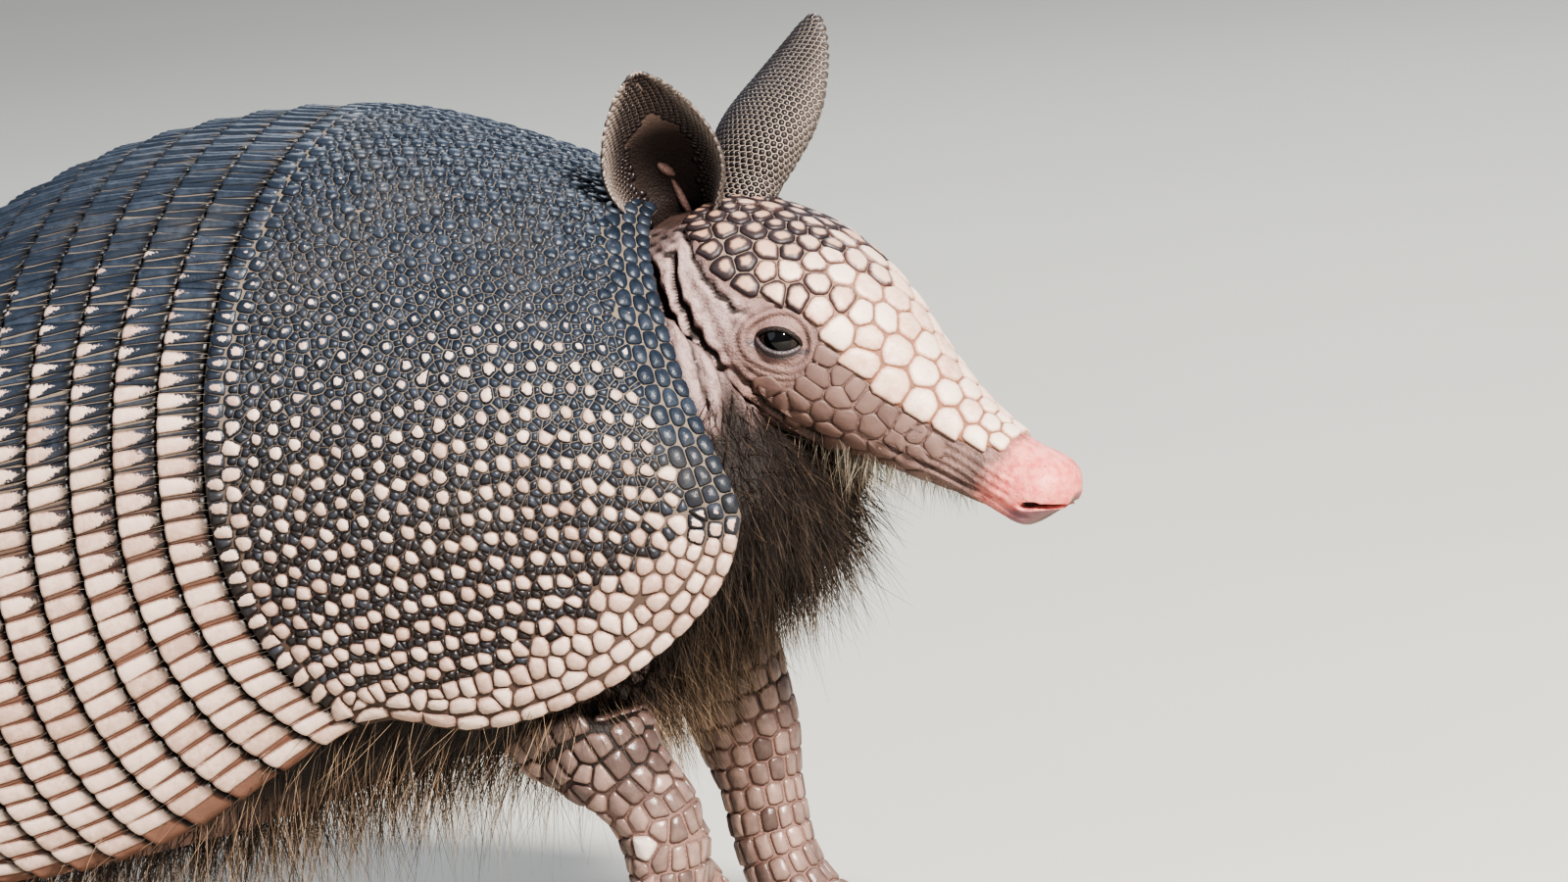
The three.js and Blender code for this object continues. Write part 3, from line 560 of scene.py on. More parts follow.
def girth(u, count=400):
    """Distances round the shell from the ridge to one margin at u, with the girth shares they belong to."""
    q = np.linspace(0, 1, count)
    return lengths_along(shell_place(np.full(count, u), q)), q


def shell_sheet(u_at, lift, rows, columns, tucked, warmth=0.0):
    """One plate of the shell as a closed sheet with rounded rims. u_at(a, q) runs from one end to the other
    as a goes from 0 to 1, lift(a) is its outer height, and the next function is 1 where the plate ahead
    covers it, which is coloured as painted shadow."""
    a, q = on_grid(np.linspace(0, 1, rows), np.linspace(-1, 1, columns))
    u = u_at(a, q)
    rim = np.minimum(np.minimum(a, 1 - a) * rows, (1 - abs(q)) * columns / 2)
    outer = SHELL.at(u, q, lift(a) - 0.5 * np.maximum(0, 1 - rim) ** 2)
    inner = SHELL.at(u, q, -SHELL_THICKNESS)
    chart = columns_of(q / 2 + 0.5, a).reshape(-1, 2)
    twice = lambda values: np.tile(values.ravel(), 2)
    down = abs(q)
    return Mould().add(
        joined(outer, inner), two_sided(rows, columns), joined(chart * 0.45, chart * 0.45 + 0.5),
        down=twice(down), tucked=twice(tucked(a)), warm=twice(warmth * blend(0.56, 0.8, down)))


def edge_path(reach, hem):
    """Points (u, q) at each millimetre round a shield's free edge, from its left hem to its right one."""
    q = np.sin(np.linspace(1, -1, 3000) * math.pi / 2)
    u = joined(np.linspace(hem, reach(1.0), 200), reach(q), np.linspace(reach(1.0), hem, 200))
    q = joined(np.ones(200), q, -np.ones(200))
    way = lengths_along(shell_place(u, q))
    marks = np.arange(0, way[-1], 1.0)
    return np.interp(marks, way, u), np.interp(marks, way, q)


def edge_rows(u, q, inward_sign, pitches, depths):
    """Rows of places along an edge path. Gives u, q, outward directions and row numbers."""
    along = unit(np.gradient(shell_place(u, q), axis=0))
    normal = SHELL.normals(u, np.clip(q, -0.99, 0.99))
    outward = inward_sign * unit(np.cross(along, normal))
    found = []
    for row, depth in enumerate(depths):
        at, marks = 1.5 + (row % 2) * 2, []
        while at < len(u) - 1.5:
            marks.append(at)
            at += np.interp(abs(q[int(at)]), *pitches)
        k = np.array(marks).astype(int)
        a, b = SHELL.shifted(u[k], np.clip(q[k], -0.985, 0.985), -outward[k] * depth)
        found.append((a, b, outward[k], np.full(len(k), row)))
    return [np.concatenate(column) for column in zip(*found)]


class Rows:
    """Rows across a shield that keep their distance from its jointed edge."""

    def __init__(self, joint, far):
        self.u, self.q = np.linspace(joint, far, 200), np.linspace(0, 1, 160)
        u, q = on_grid(self.u, self.q)
        steps = reach_of(np.diff(shell_place(u, q), axis=0))
        self.depth = joined(np.zeros((1, 160)), np.cumsum(steps, 0))

    def places(self, depth, pitch, shift, kind):
        """Places at this pitch along one row, from shift pitches off the ridge, as u, q and kind."""
        u = np.array([np.interp(depth, column, self.u) for column in self.depth.T])
        way = lengths_along(shell_place(u, self.q))
        s = (np.arange(-60, 61) + shift) * pitch
        q = np.interp(abs(s), way, self.q)
        fits = (abs(s) < way[-1] - 0.5) & (np.interp(q, self.q, self.depth[-1] - depth) > 0)
        return columns_of(np.interp(q, self.q, u), np.sign(s) * q, np.full(len(q), kind))[fits]


def rosettes(rows, start, pitch):
    """A staggered lattice of rosettes and the small plates between them, as u, q and kind."""
    step = pitch * 0.866
    found = [rows.places(start + (k + ahead) * step, pitch, (k % 2) * 0.5 + aside, kind)
             for k in range(int((rows.depth.max() - start) / pitch / 0.866) + 1)
             for kind, ahead, aside in LATTICE]
    found = np.concatenate(found)
    found[:, :2] += CHANCE.normal(0, 1, (len(found), 2)) * pitch * 0.06 / (1, 150)
    return found[CHANCE.random(len(found)) < np.choose(found[:, 2].astype(int), [1.0, 0.94, 0.97])]


def pale_share(q):
    """How much of a plate is pale: none on the back and all of it from the middle of the flank down."""
    return np.interp(abs(q), *PALE_SHARES)


def gap_fillers(spare, edge_u, edge_q, field):
    """Those of the spare places that lie clear of every edge plate and field plate, as small plates."""
    taken = joined(shell_place(edge_u, edge_q), shell_place(field[:, 0], field[:, 1]))
    reach = joined(np.full(len(edge_u), 3.3), np.where(field[:, 2] == 0, 3.3, 2.4))
    found = []
    for place, row in zip(shell_place(spare[:, 0], spare[:, 1]), spare):
        if (reach_of(taken - place) > reach).all():
            taken, reach = np.vstack([taken, place]), np.append(reach, 3.3)
            found.append([row[0], row[1], 0 if abs(row[1]) > 0.6 else 2])
    return np.array(found).reshape(-1, 3)


def field_places(rows, pitch, reach, edge, edge_plates, on_shoulder):
    """The plates of a shield inside the rows of its free edge: u, q and kind."""
    field = rosettes(rows, 7.2 if on_shoulder else 2.5, pitch)
    if on_shoulder:
        field = joined(rows.places(2.5, SHOULDER_PITCH, 0.5, HINGE),
                       rows.places(2.1, SHOULDER_PITCH, 0, FAR_PLATE), field)
    inside = (reach(field[:, 1]) - field[:, 0]) * (1 if on_shoulder else -1) > 0
    field = field[inside & (abs(field[:, 1]) < np.where(field[:, 2] == HINGE, 0.96, 0.995))]
    tree = tree_of(shell_place(*edge))
    clear = np.array([tree.find(p)[2] for p in shell_place(field[:, 0], field[:, 1])])
    side = abs(field[:, 1])
    small = (field[:, 2] == NEAR_PLATE) | (field[:, 2] == FAR_PLATE)
    ahead = blend(45, 70, field[:, 0])
    thinned = CHANCE.random(len(field)) < 1.3 * (1 - blend(8, 11 + 14 * ahead, clear))
    crowded = small & (side > 0.62) & thinned
    free = (clear > np.where((side < 0.8) & on_shoulder, 11.2, 7.8)) & ~crowded
    return joined(field[free], gap_fillers(field[~free & (clear > 6.2)], *edge_plates, field[free]))


def shield_scutes(name, finish, reach, hem, joint, pitch, on_shoulder):
    """The plates of one large shield: rosettes over its field, rows along its free edge, and on the shoulder
    shield a row along its jointed edge."""
    forward = 1 if on_shoulder else -1
    edge = edge_path(reach, hem)
    ru, rq, out, row = edge_rows(*edge, -forward, EDGE_PITCHES, EDGE_DEPTHS)
    used = (row < 2) | ((abs(rq) < 0.8) & on_shoulder)
    ru, rq, out, row = ru[used], rq[used], out[used], row[used]
    rows = Rows(joint, SHELL_FRONT if on_shoulder else SHELL_REAR)
    field = field_places(rows, pitch, reach, edge, (ru, rq), on_shoulder)
    u, q = joined(ru, field[:, 0]), joined(rq, field[:, 1])
    kind = joined(EDGE_ROW + row, field[:, 2]).astype(int)
    down = abs(q)
    rosette, hinge = kind == ROSETTE, kind == HINGE
    small, edging = (kind == NEAR_PLATE) | (kind == FAR_PLATE), (kind >= EDGE_ROW) & (kind < HINGE)
    shifted = down + 0.17 * blend(30, 90, u) * blend(0.28, 0.42, down)
    pale = pale_share(shifted) + CHANCE.normal(0, 0.06, len(u))
    radii = np.choose(kind, PLATE_RADII) * pitch / 5.3
    radii[rosette] += 0.1 * blend(0.42, 0.6, down[rosette]) + 0.3 * blend(0.68, 0.92, down[rosette])
    radii[rosette] += CHANCE.normal(0, 0.07, rosette.sum())
    slopes = SHELL.slopes(u, q)[0]
    along = unit(slopes)
    outward = np.zeros((len(u), 3))
    outward[: len(out)] = out
    outward[len(out) :] = along[len(out) :] * forward
    rim = np.where(edging, EDGE_HALF, 60.0)
    innermost = (kind == EDGE_ROW + 2) | ((kind == EDGE_ROW + 1) & ((down > 0.8) | (not on_shoulder)))
    walls = [(-along * forward, abs(u - joint) * reach_of(slopes)), (outward, rim),
             (-outward, np.where(innermost, EDGE_INNER_HALF, rim))]
    groove = np.where(edging, 0.17, 0.25 + 0.07 * blend(0.5, 0.8, down) * ~small)
    cells, drape = plates_on(SHELL, u, q, radii, groove, np.choose(kind, PLATE_REACHES), walls, -SHEET_SINK)
    spot = np.where(kind >= EDGE_ROW, 1.3 * blend(0.56, 0.74, down) + CHANCE.normal(0, 0.05, len(u)), pale)
    spot = np.where(small, 0.0, np.where(hinge, pale * 0.85, spot))
    tone = CHANCE.random(len(u))
    height = np.choose(kind, PLATE_HEIGHTS) * (0.85 + 0.3 * CHANCE.random(len(u)))
    roots = columns_of(0.5 + q * 0.49, 0.02 + 0.96 * (u - u.min()) / (u.max() - u.min()))
    for side, sign in (("right", -1), ("left", 1)):
        mould = Mould()
        for who, rings in cells:
            for picked, steps, cut in ((~small, BEAD, 0.24), (small, BUTTON, 0.0)):
                part = (np.sign(q[who] + 1e-6) == sign) & picked[who]
                if part.any():
                    lay_plates(mould, [(who[part], rings[part])], drape, height, (roots, 0.0028), steps, cut,
                               pale=spot, tone=tone, down=down)
        mould.build(f"{name}_{side}", finish, "shell")


def make_shell_finishes():
    plate = Finish("horny shell plates", Roughness=0.36)
    radial, spread, pale, tone, down, tucked, warm = plate.marks("radial spread pale tone down tucked warm")
    cloud, mid, fine = plate.noise(2.2), plate.noise(0.9, 3), plate.noise(0.45, 4)
    cream = plate.layers(
        tint(202, 180, 167),
        (tint(166, 137, 123), (tone * 0.45 + cloud * 0.6 + mid * 0.4).ramp(0.45, 1.15)),
        # Browner towards the rim: partly the plates' own rim colour, partly painted shade by the groove.
        (tint(122, 92, 80), (radial + (fine - 0.5) * 0.4).ramp(0.7, 1.05) * 0.85),
    )
    ragged = (fine - 0.5) * 0.34 + (mid - 0.5) * 0.4 + (cloud - 0.5) * 0.2
    spot = (pale - spread + ragged).ramp(-0.06, 0.06) * pale.ramp(0.02, 0.12)
    dust = plate.noise(28, 4).ramp(0.52, 0.75) * 0.1
    colour = plate.layers(
        # Slate: its blue on the back is a painted sky reflection, its dark brown down the flank its own
        # colour.
        tint(34, 42, 54),
        (tint(36, 29, 28), down.ramp(0.4, 0.8)),
        # Painted highlight: light blue-grey clouds over the slate.
        (tint(80, 88, 102), (cloud + tone * 0.5).ramp(0.6, 1.3) * 0.45),
        (tint(112, 82, 70), warm),
        (cream, spot),
        (tint(134, 122, 102), dust * (1 - spot * 0.8)),
        # Painted shadow where the plate ahead lies over this one.
        (OVERLAP_SHADOW_COLOUR, tucked),
    )
    plate.shade(Base_Color=colour, Roughness=0.3 + dust * 0.5 + fine * 0.16 + spot * 0.1)
    plate.bump(fine * 0.6 + cloud * 0.4 + mid * 0.4, 0.14)

    net = Finish("skin between the plates", Roughness=0.75)
    down, warm, tucked = net.marks("down warm tucked")
    cloud, fine = net.noise(9, 4), net.noise(0.6)
    net.shade(Base_Color=net.layers(
        tint(112, 101, 90),
        (tint(78, 62, 54), down.ramp(0.5, 0.8)),
        (tint(110, 78, 64), warm),
        (tint(82, 66, 58), (cloud + fine * 0.4).ramp(0.7, 1.0) * 0.5),
        # Painted shadow where the plate ahead lies over this one.
        (OVERLAP_SHADOW_COLOUR, tucked),
    ))
    net.bump(fine, 0.1)
    return plate, net


def build_shell():
    plate, net = make_shell_finishes()
    share = 1.0
    shoulder_rows, pelvis_rows, across = int(70 * share), int(80 * share), int(180 * share)
    sheet = shell_sheet(lambda a, q: GAP / 2 + (shoulder_reach(q) - GAP / 2) * a,
                        lambda a: 0 * a - SHEET_SINK, shoulder_rows, across, lambda a: 0 * a)
    sheet.build("shoulder_plate", net, "shell", ["shoulder_shield"])
    shield_scutes("shoulder_scutes", plate, shoulder_reach, 0.0, GAP / 2, SHOULDER_PITCH, True)

    front = -BANDS * BAND_PITCH - GAP / 2
    # The pelvic plate's front, under the last band, gets painted shadow.
    sheet = shell_sheet(lambda a, q: front + (pelvis_reach(q) - front) * a,
                        lambda a: -BAND_STEP * np.maximum(0, 1 - 12 * a) - SHEET_SINK,
                        pelvis_rows, across, lambda a: 1 - blend(0.008, 0.02, a))
    sheet.build("pelvic_plate", net, "shell", ["pelvic_shield"])
    shield_scutes("pelvic_scutes", plate, pelvis_reach, front, front - 1.0, PELVIS_PITCH, False)
    for n in range(BANDS):
        build_band(n, plate, net, across)


def band_lift(a):
    """A band's outer height from its front edge, under the plate ahead, to its thickened rear edge."""
    return -BAND_STEP * (1 - a) ** 1.2 + 0.25 * blend(0.7, 0.95, a)


def build_band(n, plate, net, across):
    """A movable band: its sheet, and over it long plates that are wide behind with narrow ones between."""
    front, rear = -n * BAND_PITCH - GAP / 2, -(n + 1) * BAND_PITCH + GAP / 2
    u_at = lambda a: front + (rear - front) * a
    # The band's front, under the plate ahead, gets painted shadow.
    sheet = shell_sheet(lambda a, q: u_at(a) + 0 * q, lambda a: band_lift(a) - SHEET_SINK, 14, across,
                        lambda a: 1 - blend(0.1, 0.2, a), warmth=1.0)
    sheet.build(f"band_{n + 1}_plate", net, "shell", [f"band_{n + 1}"])

    way = girth((front + rear) / 2)
    count = int(way[0][-1] / BAND_PLATE_PITCH)
    s = (np.arange(-count, count + 1) + 0.5 * (n % 2)) * BAND_PLATE_PITCH
    s = s + CHANCE.normal(0, 0.22, len(s))
    s = s[abs(s) < way[0][-1] - 2.2]
    mould = Mould()
    band_plates(mould, s, u_at, way, False)
    band_plates(mould, (s[1:] + s[:-1]) / 2, u_at, way, True)
    mould.build(f"band_{n + 1}_scutes", plate, "shell")


def band_plates(mould, middle, u_at, way, narrow):
    """The wide or the narrow plates of a band, at these distances from the ridge."""
    shares = lambda distance: np.sign(distance) * np.interp(abs(distance), *way)
    across, steps, m = BAND_PLATE_ACROSS, BAND_PLATE_STEPS, len(middle)
    q = shares(middle)
    down = abs(q)
    grow = blend(0.3, 0.72, down)
    behind, before = 1.5 + 0.72 * grow, 0.75 + 1.2 * grow
    if narrow:
        behind, before = [BAND_PLATE_PITCH / 2 - wide - 0.1 for wide in (behind, before)]
    half = np.maximum(before[:, None] + (behind - before)[:, None] * steps - 0.12, 0.1)
    lean = CHANCE.normal(0, 0.3, m)[:, None] * (steps - 0.5)
    ring_s = (middle[:, None] + lean)[..., None] + half[..., None] * across
    bow = 0 * across if narrow else 0.035 * (1 - across**4)
    ring_a = steps[:, None] + bow * blend(0.5, 0.955, steps)[:, None] + 0 * ring_s
    crown = 0.66 * (1 - 0.9 * abs(across) ** 3) * (1 - 0.7 * blend(0.86, 0.96, steps))[:, None]
    crown = crown * (0.3 if narrow else 1)
    size = len(steps) * len(across)
    top, foot = [SHELL.at(u_at(ring_a), shares(ring_s), band_lift(ring_a) + rise).reshape(m, size, 3)
                 for rise in (crown, -0.7)]
    base = (np.arange(m) * size * 2)[:, None, None]
    blocks = (grid_faces(len(steps), len(across)), rim_wall(len(steps), len(across)))
    pale = np.interp(down, *BAND_PALE_SHARES)
    pale = np.where(narrow, 0.3 * blend(0.75, 0.95, down), pale + CHANCE.normal(0, 0.08, m) * (pale > 0))
    warm = blend(0.56, 0.8, down) * (1.0 if narrow else 0.6)
    roots = columns_of(0.5 + q * 0.48, np.full(m, 0.1 if narrow else 0.6))[:, None, None]
    chart = (roots + columns_of((ring_s - middle[:, None, None]) * 0.0025, ring_a * 0.3)).reshape(m, size, 2)
    whole = {"pale": pale, "tone": CHANCE.random(m), "down": down, "warm": warm}
    values = {
        "radial": abs(across),
        "spread": 0.86 * (1 - ring_a) + 0.36 * abs(across),
        # Painted shadow over the front of each plate, under the band ahead.
        "tucked": 1 - blend(0.08, 0.2, ring_a),
        **{name: value[:, None, None] for name, value in whole.items()},
    }
    values = {name: np.broadcast_to(value, ring_s.shape).reshape(m, size) for name, value in values.items()}
    mould.add(joined(top, foot, axis=1), [(base + block[:, ::-1]).reshape(-1, 4) for block in blocks],
              joined(chart, chart, axis=1).reshape(-1, 2),
              **{name: joined(value, value, axis=1).ravel() for name, value in values.items()})


# ---- the head's own frame
HEAD_YAW, HEAD_PITCH = math.radians(-8), math.radians(34)


def yawed(v):
    c, s = math.cos(HEAD_YAW), math.sin(HEAD_YAW)
    return np.array([c * v[0] - s * v[1], s * v[0] + c * v[1], v[2]])


AHEAD = yawed([math.cos(HEAD_PITCH), 0, -math.sin(HEAD_PITCH)])
UP = yawed([math.sin(HEAD_PITCH), 0, math.cos(HEAD_PITCH)])
LEFT = yawed([0, 1, 0])
HEAD_PIVOT = np.array([106.8, 0, 0])
HEAD_LENGTH = 104
OCCIPUT = yawed([175.7 - 106.8, 0, 108.2]) + HEAD_PIVOT - AHEAD * HEAD_LENGTH
# The skin of the head starts this far behind the occiput, inside the neck, and covers this length.
HEAD_START, HEAD_SPAN = -4, 108.3
# Distance from the occiput, crown height, throat height, half width.
HEAD_STATIONS = [
    (-4, 3, -25, 21),
    (6, 12, -30, 26),
    (20, 16.6, -30, 27.2),
    (35, 17.2, -27, 25),
    (50, 13.7, -23.4, 19.6),
    (65, 7, -20.2, 14.6),
    (79, 2.8, -17.6, 10.9),
    (90, 1.6, -15.8, 9.4),
    (97, 1.8, -15.2, 9.6),
    (101.5, 1.2, -12.6, 7.8),
    (104.4, -2, -8, 3.4),
]
# The crown's shield: its rear and front ends, and at distances from the occiput, how far down each side it
# reaches, as an angle from the crown.
SHIELD_BACK, SHIELD_FRONT = 1.5, 87.5
SHIELD_EDGE = [(3, 0.55), (8, 0.8), (12.5, 0.97), (17, 1.08), (25, 1.14), (31, 1.09), (38, 1.07), (43, 1.15),
               (50, 1.26), (60, 1.34), (68, 1.3), (80, 1.18), (87.5, 0.8)]
# Grooves behind the crown's plates and down the nape: distances from the occiput, turns, depth and width.
NAPE_GROOVES = [
    ([5, 7.5, 10, 14, 19.5, 24, 29, 34], [1.0, 1.12, 1.3, 1.44, 1.6, 1.7, 1.81, 1.9], 2.1, 0.85),
    ([2, 9, 15.5, 20.5, 25], [1.2, 1.46, 1.64, 1.75, 1.89], 2.3, 1.0),
    ([3, 8, 12.5, 17, 21, 25], [0.68, 0.9, 1.07, 1.18, 1.24, 1.3], 1.2, 0.6),
]
EYE_PLACE = (35.2, 19.5, -2.4)
EYE_RADIUS, EYE_TILT = 5.6, math.radians(20)
# The eye's opening: half its width, and its height above and below its middle.
EYE_WIDE, EYE_UPPER, EYE_LOWER = 4.8, 2.8, 2.4
# The face's skin lies this far inside the head's plain surface.
FACE_SINK = 0.35
# The mouth's line: distances along the head, and heights.
LIP_LINE = ([56, 75, 97, 104], [-13.5, -12.6, -11.6, -10.4])
# Folds of the cheek: angles from the first one, and heights.
CHEEK_FOLDS = ((-0.17, 0.5), (0.0, 1.25), (0.17, 1.1), (0.34, 0.8))
# Creases round the eye: distance from its middle, height, width, and 1 for those that sway.
EYE_CREASES = ((6.3, -0.8, 0.6, 1), (7.3, 0.4, 0.6, 1), (8.3, -0.5, 0.5, 1), (9.2, 0.3, 0.5, 0),
               (10.1, -0.4, 0.5, 1), (11.6, -0.3, 0.5, 1))


def head_place(along, side, up):
    parts = [np.asarray(v, float)[..., None] for v in (along, side, up)]
    return OCCIPUT + AHEAD * parts[0] + LEFT * parts[1] + UP * parts[2]


def head_frame(points):
    """Points in the head's own frame: along, side, up."""
    away = points - OCCIPUT
    return away @ AHEAD, away @ LEFT, away @ UP


def head_surface(along, turn):
    """A point on the head: turn is 0 on the crown, pi on the throat, and positive on the animal's left."""
    along, turn = np.broadcast_arrays(np.asarray(along, float), turn)
    crown, throat, half = np.moveaxis(smooth_table(HEAD_STATIONS, along), -1, 0)
    middle = throat + (crown - throat) * 0.46
    cosine, sine = np.cos(turn), np.sin(turn)
    up = np.sign(cosine) * abs(cosine) ** 0.9 * np.where(cosine > 0, crown - middle, middle - throat)
    return head_place(along, np.sign(sine) * abs(sine) ** 0.95 * half, middle + up)


def shield_edge(along):
    return smooth_table(SHIELD_EDGE, along)[..., 0]


HEAD = Surface(head_surface, (0.4, 0.02))


def eye_frame(side):
    """An eye's centre, its outward axis, and the long and short axes of its opening."""
    along, aside, up = EYE_PLACE
    centre = head_place(along, side * aside, up)
    outward = unit(LEFT * side * 0.97 + AHEAD * 0.2 + UP * 0.16)
    long = AHEAD * math.cos(EYE_TILT) + UP * math.sin(EYE_TILT)
    long = unit(long - outward * (long @ outward))
    short = np.cross(outward, long) * side
    return centre, outward, long, short if short @ UP > 0 else -short


def lid_measure(x, y):
    """1 on the edge of the eye's opening, less inside it and more outside."""
    across = x / EYE_WIDE
    high = y / np.where(y > 0, EYE_UPPER, EYE_LOWER)
    return np.hypot(across, high * (1 + 0.25 * np.minimum(abs(across), 1.5) ** 2))


def ridge(distance, width):
    return np.exp(-((distance / width) ** 2))


def head_relief(along, turn, points):
    """How far the head's skin stands off its plain surface: mouth, folds of the cheek and brow, nose."""
    up, around = head_frame(points)[2], abs(turn)
    lip = np.interp(along, *LIP_LINE)
    inside = between(58, 66, 98, 101, along)
    rise = -0.85 * ridge(up - lip, 0.5) * inside * (around > 1)
    rise += 0.35 * ridge(up - lip + 1.5, 1.0) * inside * (around > 1)
    rise += 0.35 * blend(86, 95, along) + 0.3 * ridge(along - 97.5, 2.4) * (around < 1.9)
    # Fine wrinkles along the sides of the snout.
    snout = between(60, 68, 90, 96, along) * blend(1.15, 1.4, around)
    rise += 0.16 * np.sin(up * 3.1 + 1.2 * np.sin(along * 0.3)) * snout
    # Folds of the cheek that run from behind the eye down towards the throat.
    line = 1.93 + (along - 32.2) * 0.0335
    reach = between(20, 30, 58, 68, along)
    for step, size in CHEEK_FOLDS:
        offset = (around - line - step - 0.03 * np.sin(along * 0.35 + step * 20)) * 15
        rise += size * (ridge(offset, 0.8) - 0.95 * ridge(offset + 1.5, 0.8)) * reach
    # Loose folds of the nape, parted by deep grooves.
    for start, turns, depth, width in NAPE_GROOVES:
        offset = (around - np.interp(along, start, turns) + 0.014 * np.sin(along * 1.3 + depth * 9)) * 19
        shown = between(start[0] - 3, start[0] + 2, start[-1] - 1, start[-1] + 5, along)
        rise -= depth * (ridge(offset, width) - 0.3 * ridge(abs(offset) - 2.1 * width, width)) * shown
    nape = nape_share(along, around)
    return rise + nape * (0.16 * np.sin(around * 38 - along * 0.9) + 0.12 * np.sin(around * 21 + along * 1.7))


def nape_share(along, around):
    """1 on the loose skin behind and below the crown's plates, and 0 by the eye and under the plates."""
    return blend(0.0, 0.1, around - shield_edge(along)) * (1 - blend(22, 34, along))


def shape_eyes(points):
    """Moves the head's skin into lids over each eyeball, with an open slit and creases round it."""
    points = points.copy()
    dark, grey = np.zeros(len(points)), np.zeros(len(points))
    for side in (-1, 1):
        centre, outward, long, short = eye_frame(side)
        away = points - centre
        x, y, z = away @ long, away @ short, away @ outward
        near = (z > 0) & (np.hypot(x, y) < 15)
        d = lid_measure(x, y)
        ball = np.sqrt(np.maximum(EYE_RADIUS**2 - x * x - y * y, 0.01))
        lid = np.sqrt(np.maximum((EYE_RADIUS + 0.5) ** 2 - x * x - y * y, 0.3))
        r = np.hypot(x * 0.95, y * 1.15)
        sway = 0.35 * np.sin(np.arctan2(y, x) * 3 + 0.8)
        crease = sum(
            height * ridge(r - far + sway * sways, width) for far, height, width, sways in EYE_CREASES)
        over = 1 - blend(4.7, 6.4, r)
        new = (z + crease * near) * (1 - over) + lid * over
        new = np.where(d < 0.97, ball - 1.4, new)
        points += np.where(near, new - z, 0)[:, None] * outward
        # Painted shade inside and round the eye's opening, and in the creases round it.
        dark = np.maximum(dark, near * (1 - blend(0.95, 1.15, d)))
        folds = np.maximum(ridge(r - 6.3 + sway, 0.5), ridge(r - 8.3 + sway, 0.4))
        dark = np.maximum(dark, 0.5 * near * folds)
        grey = np.maximum(grey, near * blend(-0.3, -1.2, y) * (1 - blend(1.5, 1.9, d)))
    return points, dark, grey


def make_head(skin, rings, columns):
    """The head's skin, from inside the neck to the nose, with its lids, folds, mouth and nostrils."""
    a, t = on_grid(HEAD_START + HEAD_SPAN * np.linspace(0, 1, rings), full_turn(columns) - math.pi)
    points, normals = HEAD.at(a, t).reshape(-1, 3), HEAD.normals(a, t).reshape(-1, 3)
    a, t = a.ravel(), t.ravel()
    around = abs(t)
    rise = head_relief(a, t, points) - FACE_SINK
    under_shield = (around < shield_edge(a) - 0.05) & (a > SHIELD_BACK + 2) & (a < SHIELD_FRONT - 1.5)
    rise = np.where(under_shield, -1.0, rise)
    points, dark, grey = shape_eyes(points + normals * rise[:, None])
    # Nostrils: slits on the nose's front sides.
    _, side, up = head_frame(points)
    slit = -7.4 + (a - 101) * 0.42
    for s in (-1, 1):
        hole = 1 - blend(0.55, 1.15, np.hypot((a - 98.6) / 2.2, (up - slit) / 1.25))
        hole = np.maximum(hole, 1 - blend(0.55, 1.2, np.hypot((a - 101.6) / 3.2, (up - slit) / 0.85)))
        hole *= s * side > 0.8
        points -= normals * (2.4 * hole)[:, None]
        # Painted shade inside the nostrils.
        dark = np.maximum(dark, hole)
    below = blend(0.3, 1.8, slit - up) * blend(91, 97, a)
    points -= AHEAD * (1.5 * below * blend(97, 103, a))[:, None]
    # Painted shade on the skin at the back of the head, inside the neck.
    dark = np.maximum(dark, 0.6 * blend(6, 1, a))
    from_eye = np.minimum(*[reach_of(points - eye_frame(s)[0]) for s in (-1, 1)])
    nape = nape_share(a, around)
    folds = np.maximum(nape, blend(1.85, 2.05, around) * blend(24, 32, a) * (1 - blend(56, 66, a)))
    chart = columns_of(0.02 + 0.46 * (t + math.pi) / TURN, 0.02 + 0.46 * (a + 4) / 109)
    values = {
        "pink": blend(79, 96, a) * blend(0.4, 1.3, 3.4 - around),
        "dark": dark,
        "tender": 1 - blend(6, 13, from_eye),
        # Painted shade under the jaw and throat.
        "throat": blend(1.9, 2.6, around) * (1 - blend(60, 80, a)),
        "lid": grey,
        "lip": below * (1 - dark),
        "neck": nape,
        # Painted shade in the grooves of the nape and cheek folds.
        "fold": folds * blend(-0.3, -1.1, rise),
    }
    end = lambda v: joined(v, v[-1:])
    tip = points[-columns:].mean(0) + AHEAD * 0.6
    faces = [grid_faces(rings, columns, closed=True), fan(last_ring(rings, columns), rings * columns)]
    skin.add(np.vstack([points, tip]), faces, end(chart), **{name: end(v) for name, v in values.items()})


# ---- skin
def node_arrays(names):
    """Points, in millimetres round the spine's origin, and triangles of these nodes together."""
    points, triangles, count = [], [], 0
    for name in names:
        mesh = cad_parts[name].data
        mesh.calc_loop_triangles()
        co = np.empty(len(mesh.vertices) * 3)
        mesh.vertices.foreach_get("co", co)
        tri = np.empty(len(mesh.loop_triangles) * 3, np.int32)
        mesh.loop_triangles.foreach_get("vertices", tri)
        matrix = np.array(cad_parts[name].matrix_world)
        points.append(co.reshape(-1, 3) @ matrix[:3, :3].T / MM + matrix[:3, 3] / MM - BODY_SHIFT)
        triangles.append(tri.reshape(-1, 3) + count)
        count += len(mesh.vertices)
    return joined(*points), joined(*triangles)


def vertex_normals(points, quads):
    flat = np.cross(points[quads[:, 2]] - points[quads[:, 0]], points[quads[:, 3]] - points[quads[:, 1]])
    total = np.zeros_like(points)
    for k in range(4):
        for c in range(3):
            total[:, c] += np.bincount(quads[:, k], flat[:, c], len(points))
    return unit(total)


